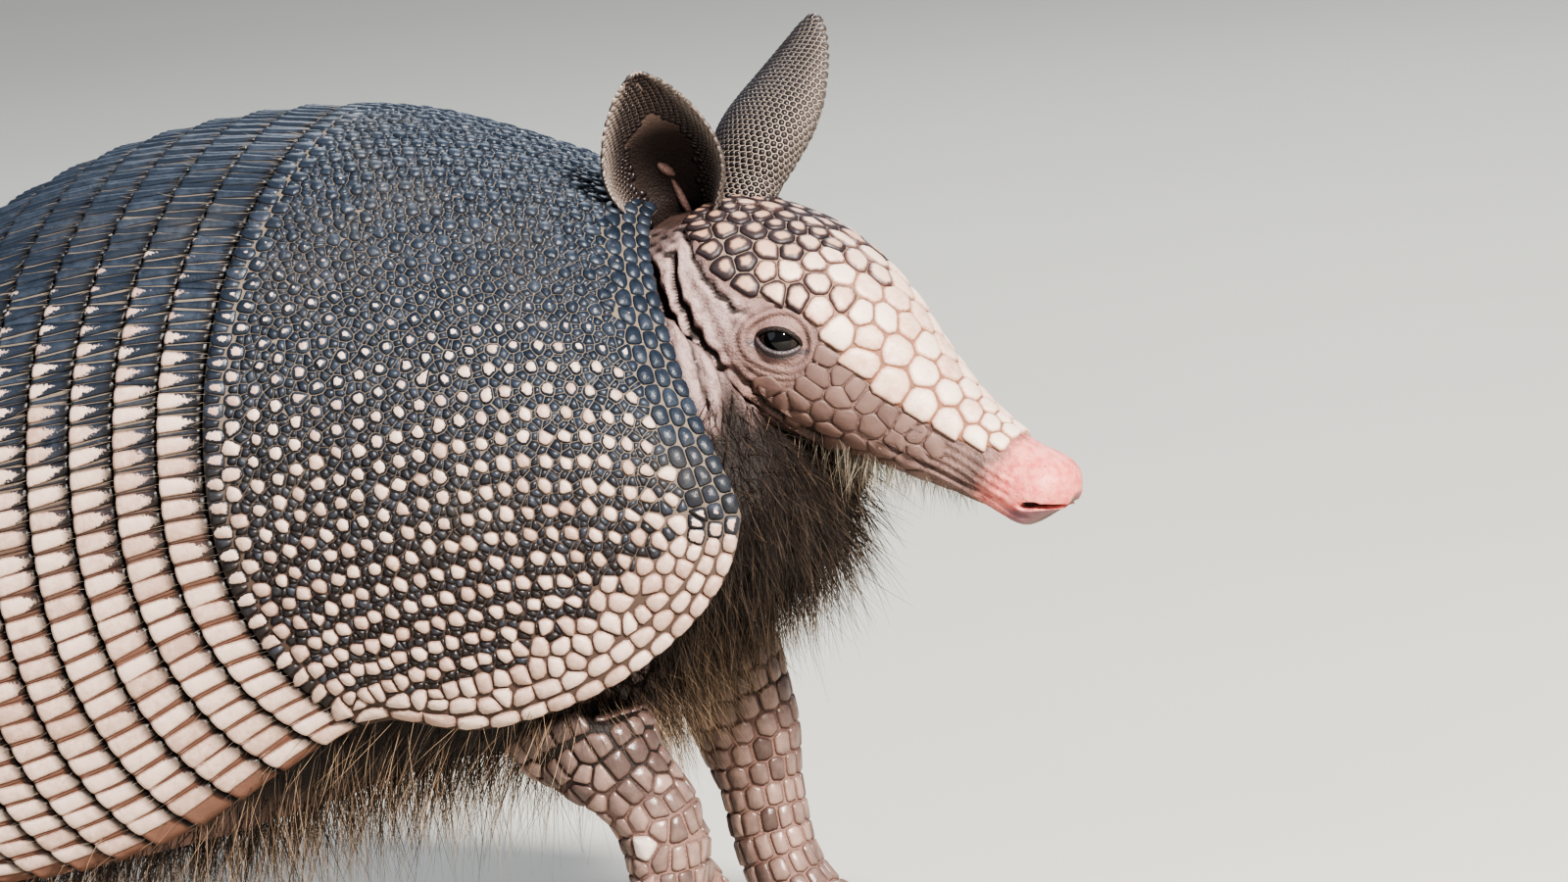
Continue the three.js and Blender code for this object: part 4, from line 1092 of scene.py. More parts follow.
def eased(points, quads, times, share=0.5):
    """Points moved towards the mean of their neighbours, this many times."""
    a = quads.ravel()
    b = np.roll(quads, -1, 1).ravel()
    ends, others = joined(a, b), joined(b, a)
    count = np.maximum(np.bincount(ends, minlength=len(points)), 1)[:, None]
    for _ in range(times):
        mean = np.stack([np.bincount(ends, points[others, c], len(points)) for c in range(3)], -1) / count
        points = points + share * (mean - points)
    return points


LIMB_PARTS = ("foreleg", "hindleg", "forefoot", "hindfoot")
FLESH = ["trunk", "neck", *[f"{part}_{side}" for part in LIMB_PARTS for side in ("right", "left")]]
# Flesh over the near foreleg's elbow and wrist, as centres and radii, and the crease below the elbow.
JOINT_BULGES = [((64.5, -48, 65.5), (12, 10, 11)), ((84, -49, 46), (9.5, 10.5, 7.5))]
ELBOW_CREASE = np.array([69.5, -50.0, 48.0])
# The skin over the solids lies this far in, so that its plates come level with them.
SKIN_SINK = 0.55


def make_body_skin(voxel):
    """One closed skin over the trunk, neck, legs and feet, which closes the thin cuts between them."""
    points, triangles = node_arrays(FLESH)
    for centre, radii in JOINT_BULGES:
        lift, around = on_grid(np.linspace(-1.5, 1.5, 13), full_turn(16))
        wide = np.cos(lift)
        ball = columns_of(np.cos(around) * wide, np.sin(around) * wide, np.sin(lift)).reshape(-1, 3)
        quads = grid_faces(13, 16, closed=True) + len(points)
        points = joined(points, ball * radii + centre)
        triangles = joined(triangles, quads[:, [0, 1, 2]], quads[:, [0, 2, 3]])
    grid = openvdb.FloatGrid.createLevelSetFromPolygons(
        points, triangles=triangles, transform=openvdb.createLinearTransform(voxelSize=voxel), halfWidth=4)
    points, quads = grid.convertToQuads(isovalue=0.3)
    points, quads = np.asarray(points, float), np.asarray(quads).astype(int)
    points = eased(points, quads, 10)
    normals = vertex_normals(points, quads)
    middle = points.mean(0)
    if ((points - middle) * normals).sum() < 0:
        quads, normals = quads[:, ::-1], -normals
    points = points - normals * SKIN_SINK
    far = reach_of(points - ELBOW_CREASE)
    points -= normals * (4.5 * np.maximum(1 - (far / 10) ** 2, 0) ** 2)[:, None]
    points[:, 2] = np.maximum(points[:, 2], 0.25)
    return points, quads, vertex_normals(points, quads)


class Hide:
    """A meshed skin that plates and hairs can be laid on."""

    def __init__(self, points, faces):
        self.tree = BVHTree.FromPolygons(points.tolist(), faces.tolist())

    def nearest(self, places):
        """Points and normals of the skin nearest to these places."""
        found = [self.tree.find_nearest(Vector(p))[:2] for p in np.asarray(places, float).reshape(-1, 3)]
        return [np.array(column).reshape(np.shape(places)) for column in zip(*found)]

    def hit(self, starts, directions):
        """Where rays strike the skin: points, normals and which rays struck."""
        found = [self.tree.ray_cast(Vector(s), Vector(d))[:2] for s, d in zip(starts, directions)]
        struck = np.array([place is not None for place, _ in found])
        points, normals = zip(*[pair for pair, hits in zip(found, struck) if hits])
        return np.array(points), np.array(normals), struck

    def drape(self, points, east, north):
        """How plates round these points lie on the skin."""

        def drape(who, offsets):
            ahead = offsets[..., :1] * east[who][:, None]
            return self.nearest(points[who][:, None] + ahead + offsets[..., 1:] * north[who][:, None])

        return drape


NECK_AXIS = unit(np.array([0.95, 0.035, 0.30]))


def outside_head(points):
    """How far points lie outside the head's plain surface: less than 0 inside it."""
    a, t = on_grid(np.linspace(HEAD_START, HEAD_LENGTH, 70), np.linspace(-math.pi, math.pi, 70))
    tree = BVHTree.FromPolygons(HEAD.place(a, t).reshape(-1, 3).tolist(), grid_faces(70, 70).tolist())
    found = [(Vector(p), *tree.find_nearest(p)) for p in points.tolist()]
    return np.array([(p - place).dot(normal) for p, place, normal, _, _ in found])


def neck_folds(points, normals):
    """Loose folds across the neck, between the shoulder shield and the head. Gives the points moved by them,
    how much each belongs to the neck and how deep in a groove it lies."""
    x, y, z = points.T
    share = blend(68, 76, x) * blend(118, 134, z - 0.3 * (x - 85) + 3 * np.sin(x * 0.9) + 2 * np.sin(y * 0.8))
    near = share > 0
    share[near] *= blend(-0.4, 1.4, outside_head(points[near]))
    away = points - (75, 0, 128)
    along = away @ NECK_AXIS
    radial = reach_of(away - along[:, None] * NECK_AXIS)
    around = np.arctan2(y, z - 95)
    wave = (along - radial) * 1.12 + 0.9 * np.sin(around * 5 + 1) + 0.5 * np.sin(around * 13 + along * 0.2)
    fold = 0.8 * np.sin(wave) + 0.45 * np.sin(wave * 2.1 + 1.2 * np.sin(around * 7))
    fold = fold + 0.12 * np.sin(around * 46 + along)
    folded = points + normals * (share * (0.7 + 1.15 * fold))[:, None]
    return folded, share, share * blend(0.1, -0.8, fold)


# ---- ears
EAR_LENGTH, EAR_THICKNESS = 43, 1.5
EAR_LEAF = [(0, 8.4), (0.15, 10.8), (0.3, 12.4), (0.47, 12.6), (0.65, 10.8), (0.8, 8), (0.92, 4.6), (1, 1)]
# The little lobes in front of an ear's hollow: lowest and highest places, place across and radius.
EAR_LOBES = ((0.15, 0.25, 0.0, 1.25), (-0.12, 0.13, -0.1, 1.0))
EARS = {
    "right": {"root": (93.4, -12.6, 168.6), "lean": 0.585, "ahead": 0.085, "turn": 1.15, "side": -1},
    "left": {"root": (101.6, 12.6, 172.4), "lean": 0.638, "ahead": 0.206, "turn": 1.1, "side": 1},
}


def ear_surface(root, lean, ahead, turn, side):
    """The middle of an ear's cupped leaf: a from its stem to its tip, b from -1 to 1 across it."""
    up = yawed(unit(np.array([ahead, side * lean, 1.0])))
    open_way = yawed([math.cos(turn), side * math.sin(turn), 0.0])
    open_way = unit(open_way - up * (open_way @ up))
    across = np.cross(up, open_way) * side
    foot = yawed(np.array(root) - HEAD_PIVOT) + HEAD_PIVOT

    def place(a, b):
        a, b = np.broadcast_arrays(np.asarray(a, float), b)
        half = smooth_table(EAR_LEAF, a)[..., 0]
        wrap = 2.2 - 1.4 * np.clip(a * 1.15, 0, 1)
        angle = b * wrap
        radius = half / np.sin(np.minimum(wrap, math.pi / 2))
        cup = radius * (np.cos(wrap) - np.cos(angle)) * 0.8
        parts = ((up, EAR_LENGTH * a), (across, radius * np.sin(angle)), (open_way, cup))
        return sum((way * far[..., None] for way, far in parts), foot)

    return place, open_way


def ear_depth(a, b):
    """Half the thickness of an ear's leaf."""
    edge = np.minimum(abs(b), 1)
    return EAR_THICKNESS / 2 * np.sqrt(np.maximum(1 - edge**6, 0.02)) * (1 - 0.45 * blend(0.3, 1, a))


def make_ear(skin, coat, name, rows, columns):
    place, open_way = ear_surface(**EARS[name])
    surface = Surface(place, (0.01, 0.02))
    a, b = on_grid(np.linspace(-0.3, 0.995, rows), np.linspace(-1, 1, columns))
    if surface.normals(np.array([0.5]), np.array([0.0]))[0] @ open_way < 0:
        surface.side = -1
    thick, edge = ear_depth(a, b), abs(b)
    chart = columns_of(b / 2 + 0.5, a).reshape(-1, 2) * 0.1
    corner = np.array([0.52, 0.3 if name == "right" else 0.5])
    # The ear's inner face, most in its hollow, is darkened with painted shade.
    deep = (1 - blend(0.25, 0.7, edge)) * (1 - blend(0.35, 0.75, a))
    hollow = joined((0.3 + 0.7 * deep).ravel(), np.zeros(a.size))
    skin.add(joined(surface.at(a, b, thick), surface.at(a, b, -thick)),
             two_sided(rows, columns, surface.side < 0),
             joined(chart + corner, chart + corner + [0.12, 0]),
             dark=hollow, ear=np.repeat([0.35, 1.0], a.size), tender=np.repeat([1.2, 0.0], a.size))
    for low, high, aside, radius in EAR_LOBES:
        up_ear, across_ear = np.linspace(low, high, 12), np.linspace(aside - 0.08, aside + 0.06, 12)
        bulge = radius * np.sin(np.linspace(0.15, 3.0, 12)) ** 0.6
        ring_tube(skin, surface.at(up_ear, across_ear, 0.6), surface.normals(up_ear, across_ear), bulge,
                  closed=False, tender=1.6)
    # Fine scales on both faces, smaller inside.
    for face, pitch, low in ((-1, 1.4, -0.22), (1, 1.3, -0.05)):
        make_ear_scales(coat, Surface(place, surface.steps, surface.side * face), name, face > 0, pitch, low)


def make_ear_scales(coat, surface, name, inside, pitch, low):
    """Rows of fine scales over one face of an ear, but not in its hollow."""
    places = []
    for row, s in enumerate(np.arange(low * EAR_LENGTH, EAR_LENGTH * 0.985, pitch * 0.87)):
        share, wide = s / EAR_LENGTH, np.linspace(-1, 1, 81)
        width = lengths_along(surface.place(np.full(81, share), wide))
        marks = np.arange((row % 2) * 0.5 + 0.4, width[-1] / pitch - 0.3) * pitch
        places.append(columns_of(np.full(len(marks), share), np.interp(marks, width, wide)))
    places = np.concatenate(places)
    places = places + CHANCE.normal(0, 0.06, places.shape) * [pitch / EAR_LENGTH, 0.06]
    a, b = np.clip(places[:, 0], -0.25, 0.985), np.clip(places[:, 1], -0.97, 0.97)
    if inside:
        keep = abs(b) > 0.4 * (1 - blend(0.5, 0.72, a)) + CHANCE.normal(0, 0.03, len(a))
        a, b = a[keep], b[keep]
    cells, drape = plates_on(surface, a, b, np.ones(len(a)), 0.24, 1.0, lift=ear_depth, near=10)
    across, up = (0.5 if inside else 0), (0.5 if name == "left" else 0)
    roots = columns_of(0.05 + 0.2 * (b + 1) + across, 0.05 + 0.4 * a + up)
    pale = (0.75 if inside else 0.2) * blend(0.5, 1.0, abs(b))
    lay_plates(coat, cells, drape, 0.26, (roots, 0.004), BUTTON, skirt=0.25, tone=CHANCE.random, pale=pale,
               ear=1.0)


# ---- scales of the head
def pebbles(surface, low, high, limits, spacing, walls, rounds, tries=6500):
    """Places for irregular plates over part of a surface, evened out after being thrown at random."""
    a = CHANCE.uniform(low, high, tries)
    inner, outer = limits(a)
    b = inner + (outer - inner) * CHANCE.random(tries)
    places, sizes = surface.place(a, b), spacing(a, b)
    kept, held, pitch = [], np.empty((0, 3)), np.empty(0)
    for i in np.nonzero(sizes > 0)[0]:
        if (reach_of(held - places[i]) > 0.9 * (pitch + sizes[i]) / 2).all():
            kept.append(i)
            held, pitch = np.vstack([held, places[i]]), np.append(pitch, sizes[i])
    a, b = a[kept], b[kept]
    for _ in range(rounds):
        cells, east, north = scute_cells(surface.place(a, b), surface.normals(a, b), np.zeros(len(a)), 0.0,
                                         spacing(a, b), walls(a, b), near=12)
        for who, rings in cells:
            middle = rings.mean(1)
            move = middle[:, :1] * east[who] + middle[:, 1:] * north[who]
            a[who], b[who] = surface.shifted(a[who], b[who], move)
        inner, outer = limits(a)
        a, b = np.clip(a, low, high), np.clip(b, np.minimum(inner, outer), np.maximum(inner, outer))
    return a, b


def rear_share(along, turn):
    """1 at the back of the crown, where the plates are small and dark-rimmed, and 0 over the snout."""
    return np.clip(1.05 - blend(12, 60, along) + 0.12 * abs(turn), 0, 1) * (1 - blend(44, 64, along))


def make_head_finishes():
    plate = Finish("cream head plates", Roughness=0.45)
    radial, tone, rear = plate.marks("radial tone rear")
    cloud, fine = plate.noise(2.5), plate.noise(0.6, 4)
    brown = plate.mix(tint(104, 78, 74), tint(54, 44, 46), rear.ramp(0.3, 0.9))
    colour = plate.layers(
        tint(218, 196, 180),
        (tint(190, 154, 136), (tone * 0.5 + cloud + (fine - 0.5) * 0.5).ramp(0.5, 1.25)),
        (tint(176, 140, 118), rear.ramp(0.3, 1.0) * 0.85),
        # Tan-brown towards each plate's rim: partly its own colour, partly painted shade by the groove.
        (tint(170, 124, 102), (radial + (fine - 0.5) * 0.3).ramp(0.78, 1.04) * 0.7),
        (brown, (radial + rear * 0.62 + (cloud - 0.5) * 0.4 + (fine - 0.5) * 0.2).ramp(0.96, 1.34)),
    )
    plate.shade(Base_Color=colour, Roughness=0.38 + fine * 0.2)
    plate.bump(fine * 0.5 + cloud * 0.5, 0.12)

    groove = Finish("grooves of the head shield", Roughness=0.8)
    (rear,) = groove.marks("rear")
    groove.shade(Base_Color=groove.layers(
        tint(138, 98, 80),
        (tint(136, 120, 108), rear),
        (tint(92, 70, 62), groove.noise(4).ramp(0.45, 0.7) * 0.5),
    ))
    groove.bump(groove.noise(0.5), 0.1)
    return plate, groove


def make_head_shield():
    """The cap of horny plates over the crown and the top of the snout."""
    plate, groove = make_head_finishes()
    rows, columns = 70, 60
    a, s = on_grid(np.linspace(SHIELD_BACK, SHIELD_FRONT, rows), np.linspace(-1, 1, columns))
    t = s * shield_edge(a)
    ends = np.minimum((a - SHIELD_BACK) / 1.5, (SHIELD_FRONT - a) / 1.5)
    rise = 0.1 - 0.8 * np.maximum(0, 1 - np.minimum(ends, (1 - abs(s)) * columns / 4)) ** 2
    chart = columns_of((s + 1) / 2, (a - 6) / 82).reshape(-1, 2) * 0.48
    bed = Mould().add(joined(HEAD.at(a, t, rise), HEAD.at(a, t, -1.4)), two_sided(rows, columns),
                      joined(chart, chart + 0.5), rear=np.tile(rear_share(a, t).ravel(), 2))
    bed.build("head_shield_bed", groove, "head_scales", ["head_shield"])

    def walls(a, b):
        along, around = HEAD.slopes(a, b)
        side = unit(around) * np.sign(b)[:, None]
        room = (shield_edge(a) - abs(b)) * reach_of(around)
        return [(side, room), (-unit(along), a - SHIELD_BACK), (unit(along), SHIELD_FRONT - a)]

    def spacing(a, b):
        middle = np.interp(a, [6, 20, 32, 45, 60, 72, 82, 88], [3.7, 4.2, 5.0, 5.9, 6.5, 5.6, 3.7, 2.7])
        return middle - 0.8 * blend(0.6, 1.0, abs(b) / shield_edge(a)) * (a < 40)

    limits = lambda a: (-shield_edge(a) * 0.92, shield_edge(a) * 0.92)
    a, b = pebbles(HEAD, SHIELD_BACK + 1.5, SHIELD_FRONT - 1.5, limits, spacing, walls, rounds=9)
    reach = spacing(a, b) * 0.85
    cells, drape = plates_on(HEAD, a, b, np.zeros(len(a)), 0.23, reach, walls(a, b), 0.1, near=12)
    heights = 0.7 + 0.25 * CHANCE.random(len(a))
    rear = np.clip(rear_share(a, b) + CHANCE.normal(0, 0.2, len(a)) * (a < 46), 0, 1.15)
    roots = columns_of(0.5 + b * 0.3, 0.02 + 0.9 * (a - 6) / 82)
    mould = Mould()
    lay_plates(mould, cells, drape, heights, (roots, 0.006), SHIELD_PLATE, 0.17, tone=CHANCE.random,
               rear=rear)
    mould.build("head_scutes", plate, "head_scales")


def make_cheek_scales(coat, side):
    """Low scales over one cheek and side of the snout."""

    def spacing(a, b):
        places = HEAD.place(a, b)
        lip = abs(head_frame(places)[2] - np.interp(a, [56, 97], [-13.5, -11.6])) < 1.4
        bare = reach_of(places - eye_frame(side)[0]) < 11.5
        above_folds = abs(b) < 1.72 + (a - 32.2) * 0.0335
        free = ~bare & above_folds & ~(lip & (a > 58)) & (a > 31) & (a < 74)
        return np.where(free, np.interp(a, [6, 30, 60, 88], [3.4, 4.4, 4.6, 2.6]), 0)

    def walls(a, b):
        around = HEAD.slopes(a, b)[1]
        return [(-unit(around) * side, (abs(b) - shield_edge(a)) * reach_of(around))]

    def relief(a, b):
        along, turn = a.ravel(), b.ravel()
        return head_relief(along, turn, HEAD.place(along, turn)).reshape(a.shape) - FACE_SINK

    def limits(a):
        return side * (shield_edge(a) + 0.06), side * np.interp(a, [6, 30, 60, 88], [1.7, 1.9, 2.6, 2.7])

    a, b = pebbles(HEAD, 7, 88.5, limits, spacing, walls, rounds=0)
    cells, drape = plates_on(HEAD, a, b, np.zeros(len(a)), 0.3, 3.4, walls(a, b), relief, near=10)
    roots = columns_of(0.05 + 0.4 * (abs(b) / math.pi) + (0.5 if side > 0 else 0), 0.02 + 0.9 * (a / 90))
    lay_plates(coat, cells, drape, 0.28, (roots, 0.005), DOME, 0.16, skirt=0.3, tone=CHANCE.random,
               pale=lambda n: 0.35 + 0.3 * CHANCE.random(n), cheek=1.0)


# ---- limbs
# The middle line of each limb, from inside the body to its wrist or ankle.
LIMBS = {
    "foreleg_right": [(74, -38, 98), (68, -45, 80), (70.5, -49, 67.5), (76, -50, 57.5), (82, -49, 50.5),
                      (85.5, -48, 40), (85.5, -48, 26)],
    "foreleg_left": [(72, 36, 100), (76, 41, 66), (79.5, 43, 48), (81.2, 43, 36.5), (82.6, 42, 24.5),
                     (87, 42, 12)],
    "hindleg_right": [(-108, -42, 92), (-100, -51, 64), (-110, -52, 44), (-126, -50, 22), (-131, -50, 10)],
    "hindleg_left": [(-92, 42, 92), (-83, 51, 64), (-93, 52, 44), (-109, 50, 22), (-114, 50, 10)],
}
# The pale knob of horn on the outside of the near wrist.
WRIST_KNOB = np.array([82.8, -57.8, 42.0])
LIMB_PITCH = 5.5
# By limb, its foot's middle, how far the foot goes behind, before and beside that, and the foot's height.
FEET = {
    "foreleg_right": ((85.5, -48), (-14, 22, 16), 28),
    "foreleg_left": ((82.6, 42), (-10, 38, 18), 12),
    "hindleg_right": ((-127, -49.8), (-16, 64, 18), 14),
    "hindleg_left": ((-110, 49.8), (-16, 64, 18), 14),
}


def scale_rows(hide, name, line):
    """Places in rows across one leg, from below the shell down to the foot: points, normals and directions
    along the leg."""
    way = lengths_along(line)
    starts, rays, lengths = [], [], []
    for row, s in enumerate(np.arange(6, way[-1], LIMB_PITCH)):
        centre, before, after = [
            np.array([np.interp(at, way, line[:, c]) for c in range(3)]) for at in (s, s - 3, s + 3)]
        ahead = unit(after - before)
        side = unit(np.cross(ahead, SIDEWAYS))
        over = np.cross(ahead, side)
        count = 17 if s < 40 else 14
        for angle in full_turn(count, 0.5 * (row % 2)) + CHANCE.normal(0, 0.05, count):
            starts.append(centre)
            rays.append(side * math.cos(angle) + over * math.sin(angle))
            lengths.append(ahead)
    points, normals, struck = hide.hit(np.array(starts), np.array(rays))
    near = reach_of(points - np.array(starts)[struck]) < 24
    free = (points[:, 2] < (78 if "fore" in name else 62)) & near & (points[:, 2] > FEET[name][2])
    return points[free], normals[free], np.array(lengths)[struck][free]


def foot_places(name, line, skin_points, taken):
    """Places at random over a foot and in the bends of its leg, clear of those taken."""
    (x, y), (back, front, half), top = FEET[name]
    ahead, aside, height = (skin_points - (x, y, 0)).T
    on_foot = (ahead > back) & (ahead < front) & (abs(aside) < half + 2) & (height < top) & (height > 1.2)
    middle = np.linspace(line[2], line[-1], 12)
    spine = np.min([reach_of(skin_points - q) for q in middle], axis=0)
    on_leg = (spine < 19) & (height < (60 if "fore" in name else 48)) & (height > top - 1)
    pool = np.nonzero(on_foot | on_leg)[0]
    CHANCE.shuffle(pool)
    chosen = []
    for i in pool:
        if (reach_of(taken - skin_points[i]) > 3.9).all():
            taken = np.vstack([taken, skin_points[i]])
            chosen.append(i)
    return chosen


def make_limb_scales(coat, hide, skin_points, skin_normals):
    """Horny scales: rows across each leg, and rounder ones over the foot and between the rows."""
    for number, (name, line) in enumerate(LIMBS.items()):
        line = np.array(line, float)
        points, normals, lengths = scale_rows(hide, name, line)
        pale = 0.08 + (0.2 + 0.35 * CHANCE.random(len(points))) * blend(80, 42, points[:, 2])
        scales = np.column_stack([points, normals, lengths, np.ones(len(points)), pale])
        if name == "foreleg_right":
            place, out = hide.nearest(WRIST_KNOB)
            knob = [*place, *out, *lengths[-1], 2.2, 1.5]
            scales = np.vstack([scales[reach_of(points - WRIST_KNOB) > 4.6], knob])
        chosen = foot_places(name, line, skin_points, scales[:, :3])
        more = len(chosen)
        room = joined(np.full(len(scales), LIMB_PITCH * 0.56), np.full(more, 60.0))
        rounder = np.column_stack([
            skin_points[chosen], skin_normals[chosen], np.tile([1.0, 0, 0], (more, 1)),
            CHANCE.uniform(0.8, 1.3, more), 0.28 + 0.3 * CHANCE.random(more)])
        points, normals, lengths, radii, pale = np.split(np.vstack([scales, rounder]), [3, 6, 9, 10], axis=1)
        walls = [(lengths, room), (-lengths, room)]
        cells, east, north = scute_cells(points, normals, radii[:, 0], 0.42, 3.4, walls, near=12)
        away = points - line[2]
        around = np.arctan2(away[:, 1], away[:, 0]) / TURN + 0.5
        up = 0.02 + 0.2 * np.clip(points[:, 2] / 100, 0, 1)
        roots = columns_of(0.02 + 0.24 * number + 0.2 * around, up)
        heights = lambda n: 0.75 * (0.85 + 0.3 * CHANCE.random(n))
        lay_plates(coat, cells, hide.drape(points, east, north), heights, (roots, 0.003), DOME, 0.14,
                   skirt=0.5, tone=CHANCE.random(len(points)), limb=1.0, pale=pale[:, 0])


# ---- tail
# The middle line from root to tip, its radius, and the rings that cover the first share of its length.
TAIL_LINE = [(0, -178, 0, 81), (1, -205, 0, 68), (2, -240, -3, 45), (3, -285, -10, 24), (4, -345, -18, 10.5),
             (5, -420, -14, 7.5), (6, -500, 4, 3.8), (7, -535, 13, 1.4)]
TAIL_RADIUS = 19
TAIL_RINGS = 14
TAIL_RINGED = 0.56
RING_STEP = TAIL_RINGED / TAIL_RINGS


def tail_radius(t):
    return TAIL_RADIUS * (1 - t) ** 0.86


def tail_place(t, angle, swell=0.0):
    """A point of the tail: t from its root to its tip, angle round it from below."""
    t, angle = np.broadcast_arrays(np.asarray(t, float), angle)
    centre = smooth_table(TAIL_LINE, t * 7)
    ahead = unit(smooth_table(TAIL_LINE, t * 7 + 0.05) - smooth_table(TAIL_LINE, t * 7 - 0.05))
    lateral = unit(np.cross(ahead, np.array([0, 0, 1.0])))
    over = np.cross(lateral, ahead)
    ring = t / TAIL_RINGED * TAIL_RINGS
    flare = (ring - np.floor(ring)) ** 1.3 * 1.1 * (1 - blend(0.5, TAIL_RINGED + 0.02, t))
    radius = tail_radius(np.minimum(t, 1)) + 0.55 + flare + swell
    return centre + lateral * (radius * np.sin(angle))[..., None] - over * (radius * np.cos(angle))[..., None]


TAIL = Surface(tail_place, (0.002, 0.03))


def tail_scale_places():
    """Places for the tail's scales: t, angle, the limits in t of each one's ring, and kind, which is 0 or 1
    for a ring's front or rear row and 2 for the scales beyond the rings."""
    found = []

    def add_row(t, count, shift, kind, limits):
        same = np.tile([t, *limits, kind], (count, 1))
        found.append(np.insert(same, 1, full_turn(count, shift), axis=1))

    for ring in range(1, TAIL_RINGS):
        start = ring * RING_STEP
        count = max(8, int(TURN * (tail_radius(start) + 1.2) / 4.6))
        for row, share in enumerate((0.24, 0.7)):
            add_row(start + share * RING_STEP, count, 0.5 * row, row, (start, start + RING_STEP))
    t, row = TAIL_RINGED, 0
    while t < 0.975:
        radius = tail_radius(t) + 1.0
        add_row(t, max(5, int(TURN * radius / 3.9)), 0.5 * (row % 2), 2, (-1.0, 2.0))
        t += 0.0105 * (0.75 + 0.25 * radius / 10)
        row += 1
    return np.concatenate(found).T


def make_tail(skin, coat):
    rows, columns = 420, 64
    t, angle = on_grid(np.linspace(0.0, 0.998, rows), full_turn(columns))
    points = tail_place(t, angle, -0.25)
    points[..., 2] = np.maximum(points[..., 2], 0.15)
    tip = points[-1].mean(0, keepdims=True)
    middle, side = np.array([0.4]), np.array([1.0])
    outward = TAIL.place(middle, side) - smooth_table(TAIL_LINE, middle * 7)
    TAIL.side = 1 if (outward * TAIL.normals(middle, side)).sum() > 0 else -1
    faces = [grid_faces(rows, columns, closed=True), fan(last_ring(rows, columns), rows * columns)]
    chart = columns_of(0.76 + 0.22 * angle / TURN, 0.02 + 0.9 * t).reshape(-1, 2)
    skin.add(joined(points.reshape(-1, 3), tip), [block[:, :: TAIL.side] for block in faces],
             joined(chart, chart[-1:]), tail=1.0)

    t, angle, low, high, kinds = tail_scale_places()
    angle = angle + CHANCE.normal(0, 0.02, len(angle))
    along, _ = TAIL.slopes(t, angle)
    pace = reach_of(along)
    walls = [(-unit(along), (t - low) * pace), (unit(along), (high - t) * pace)]
    radii = np.where(kinds == 1, 2.6, 1.5)
    cells, drape = plates_on(TAIL, t, angle, radii, 0.35, 6.0, walls, -0.2)
    heights = np.where(kinds == 2, 0.45, 0.6) * (1 - 0.4 * blend(0.6, 1, t))
    roots = columns_of(0.02 + 0.96 * (angle / TURN % 1), 0.05 + 0.9 * t)
    pale = np.where(kinds == 1, 0.55, 0.2) + CHANCE.normal(0, 0.1, len(t))
    lay_plates(coat, cells, drape, heights, (roots, 0.004), DOME, skirt=0.5, tone=CHANCE.random, pale=pale,
               limb=1.0, tail=1.0)


# ---- eyes, lids and claws
def ring_of(side, over, turn, flat=1.0):
    """Directions round a line at these angles, for each pair of axes across it."""
    return side[:, None] * np.cos(turn)[:, None] + over[:, None] * (np.sin(turn) * flat)[:, None]


def ring_tube(mould, centres, normals, radius, sides=8, closed=True, **values):
    """A smooth cord of this radius along a line of points, with its section turned by normals."""
    rows = len(centres)
    ahead = np.roll(centres, -1, 0) - np.roll(centres, 1, 0)
    if not closed:
        ahead[0], ahead[-1] = centres[1] - centres[0], centres[-1] - centres[-2]
    ahead = unit(ahead)
    side = unit(np.cross(ahead, normals))
    radius = np.broadcast_to(radius, rows)[:, None, None]
    points = centres[:, None] + radius * ring_of(side, np.cross(side, ahead), full_turn(sides))
    first, last = np.arange(sides), last_ring(rows, sides)
    ends = [first[None, ::-1], last[None]]
    if closed:
        ends = [columns_of(last, np.roll(last, -1), np.roll(first, -1), first)]
    mould.add(points, [grid_faces(rows, sides, closed=True), *ends], (0.95, 0.05), **values)


def make_lids(skin):
    """The thick rims of the upper and lower eyelids, and two folds round them."""
    turn = full_turn(56)
    cosine, sine = np.cos(turn), np.sin(turn)
    x = EYE_WIDE * cosine
    y = sine * np.where(sine > 0, EYE_UPPER, EYE_LOWER) * (1 - 0.22 * abs(cosine) ** 2)
    for side in (-1, 1):
        centre, outward, long, short = eye_frame(side)

        def on_eye(x, y, z):
            return centre + x[:, None] * long + y[:, None] * short + z[:, None] * outward

        points = on_eye(x, y, np.sqrt((EYE_RADIUS + 0.3) ** 2 - x * x - y * y))
        # The lid rims carry painted shade, darkest along the top as the upper lid's shadow.
        ring_tube(skin, points, unit(points - centre), 0.42 + 0.18 * abs(sine),
                  lid=np.repeat(blend(0.2, -0.6, sine), 8),
                  dark=0.2 + 0.75 * np.repeat(blend(-0.7, 0.3, sine), 8))
        for scale, radius in ((1.45, 0.45), (1.95, 0.4)):
            wide, high = x * (1 + (scale - 1) * 0.5), y * scale * np.where(y > 0, 1.0, 1.1)
            out = np.sqrt(np.maximum((EYE_RADIUS + 0.4) ** 2 - wide * wide - high * high, 4.0)) - 0.15
            ring, thick = on_eye(wide, high, out), 0.75 + 0.25 * np.sin(turn * 2 + 1)
            ring_tube(skin, ring, unit(ring - centre), radius * thick, tender=1.0)


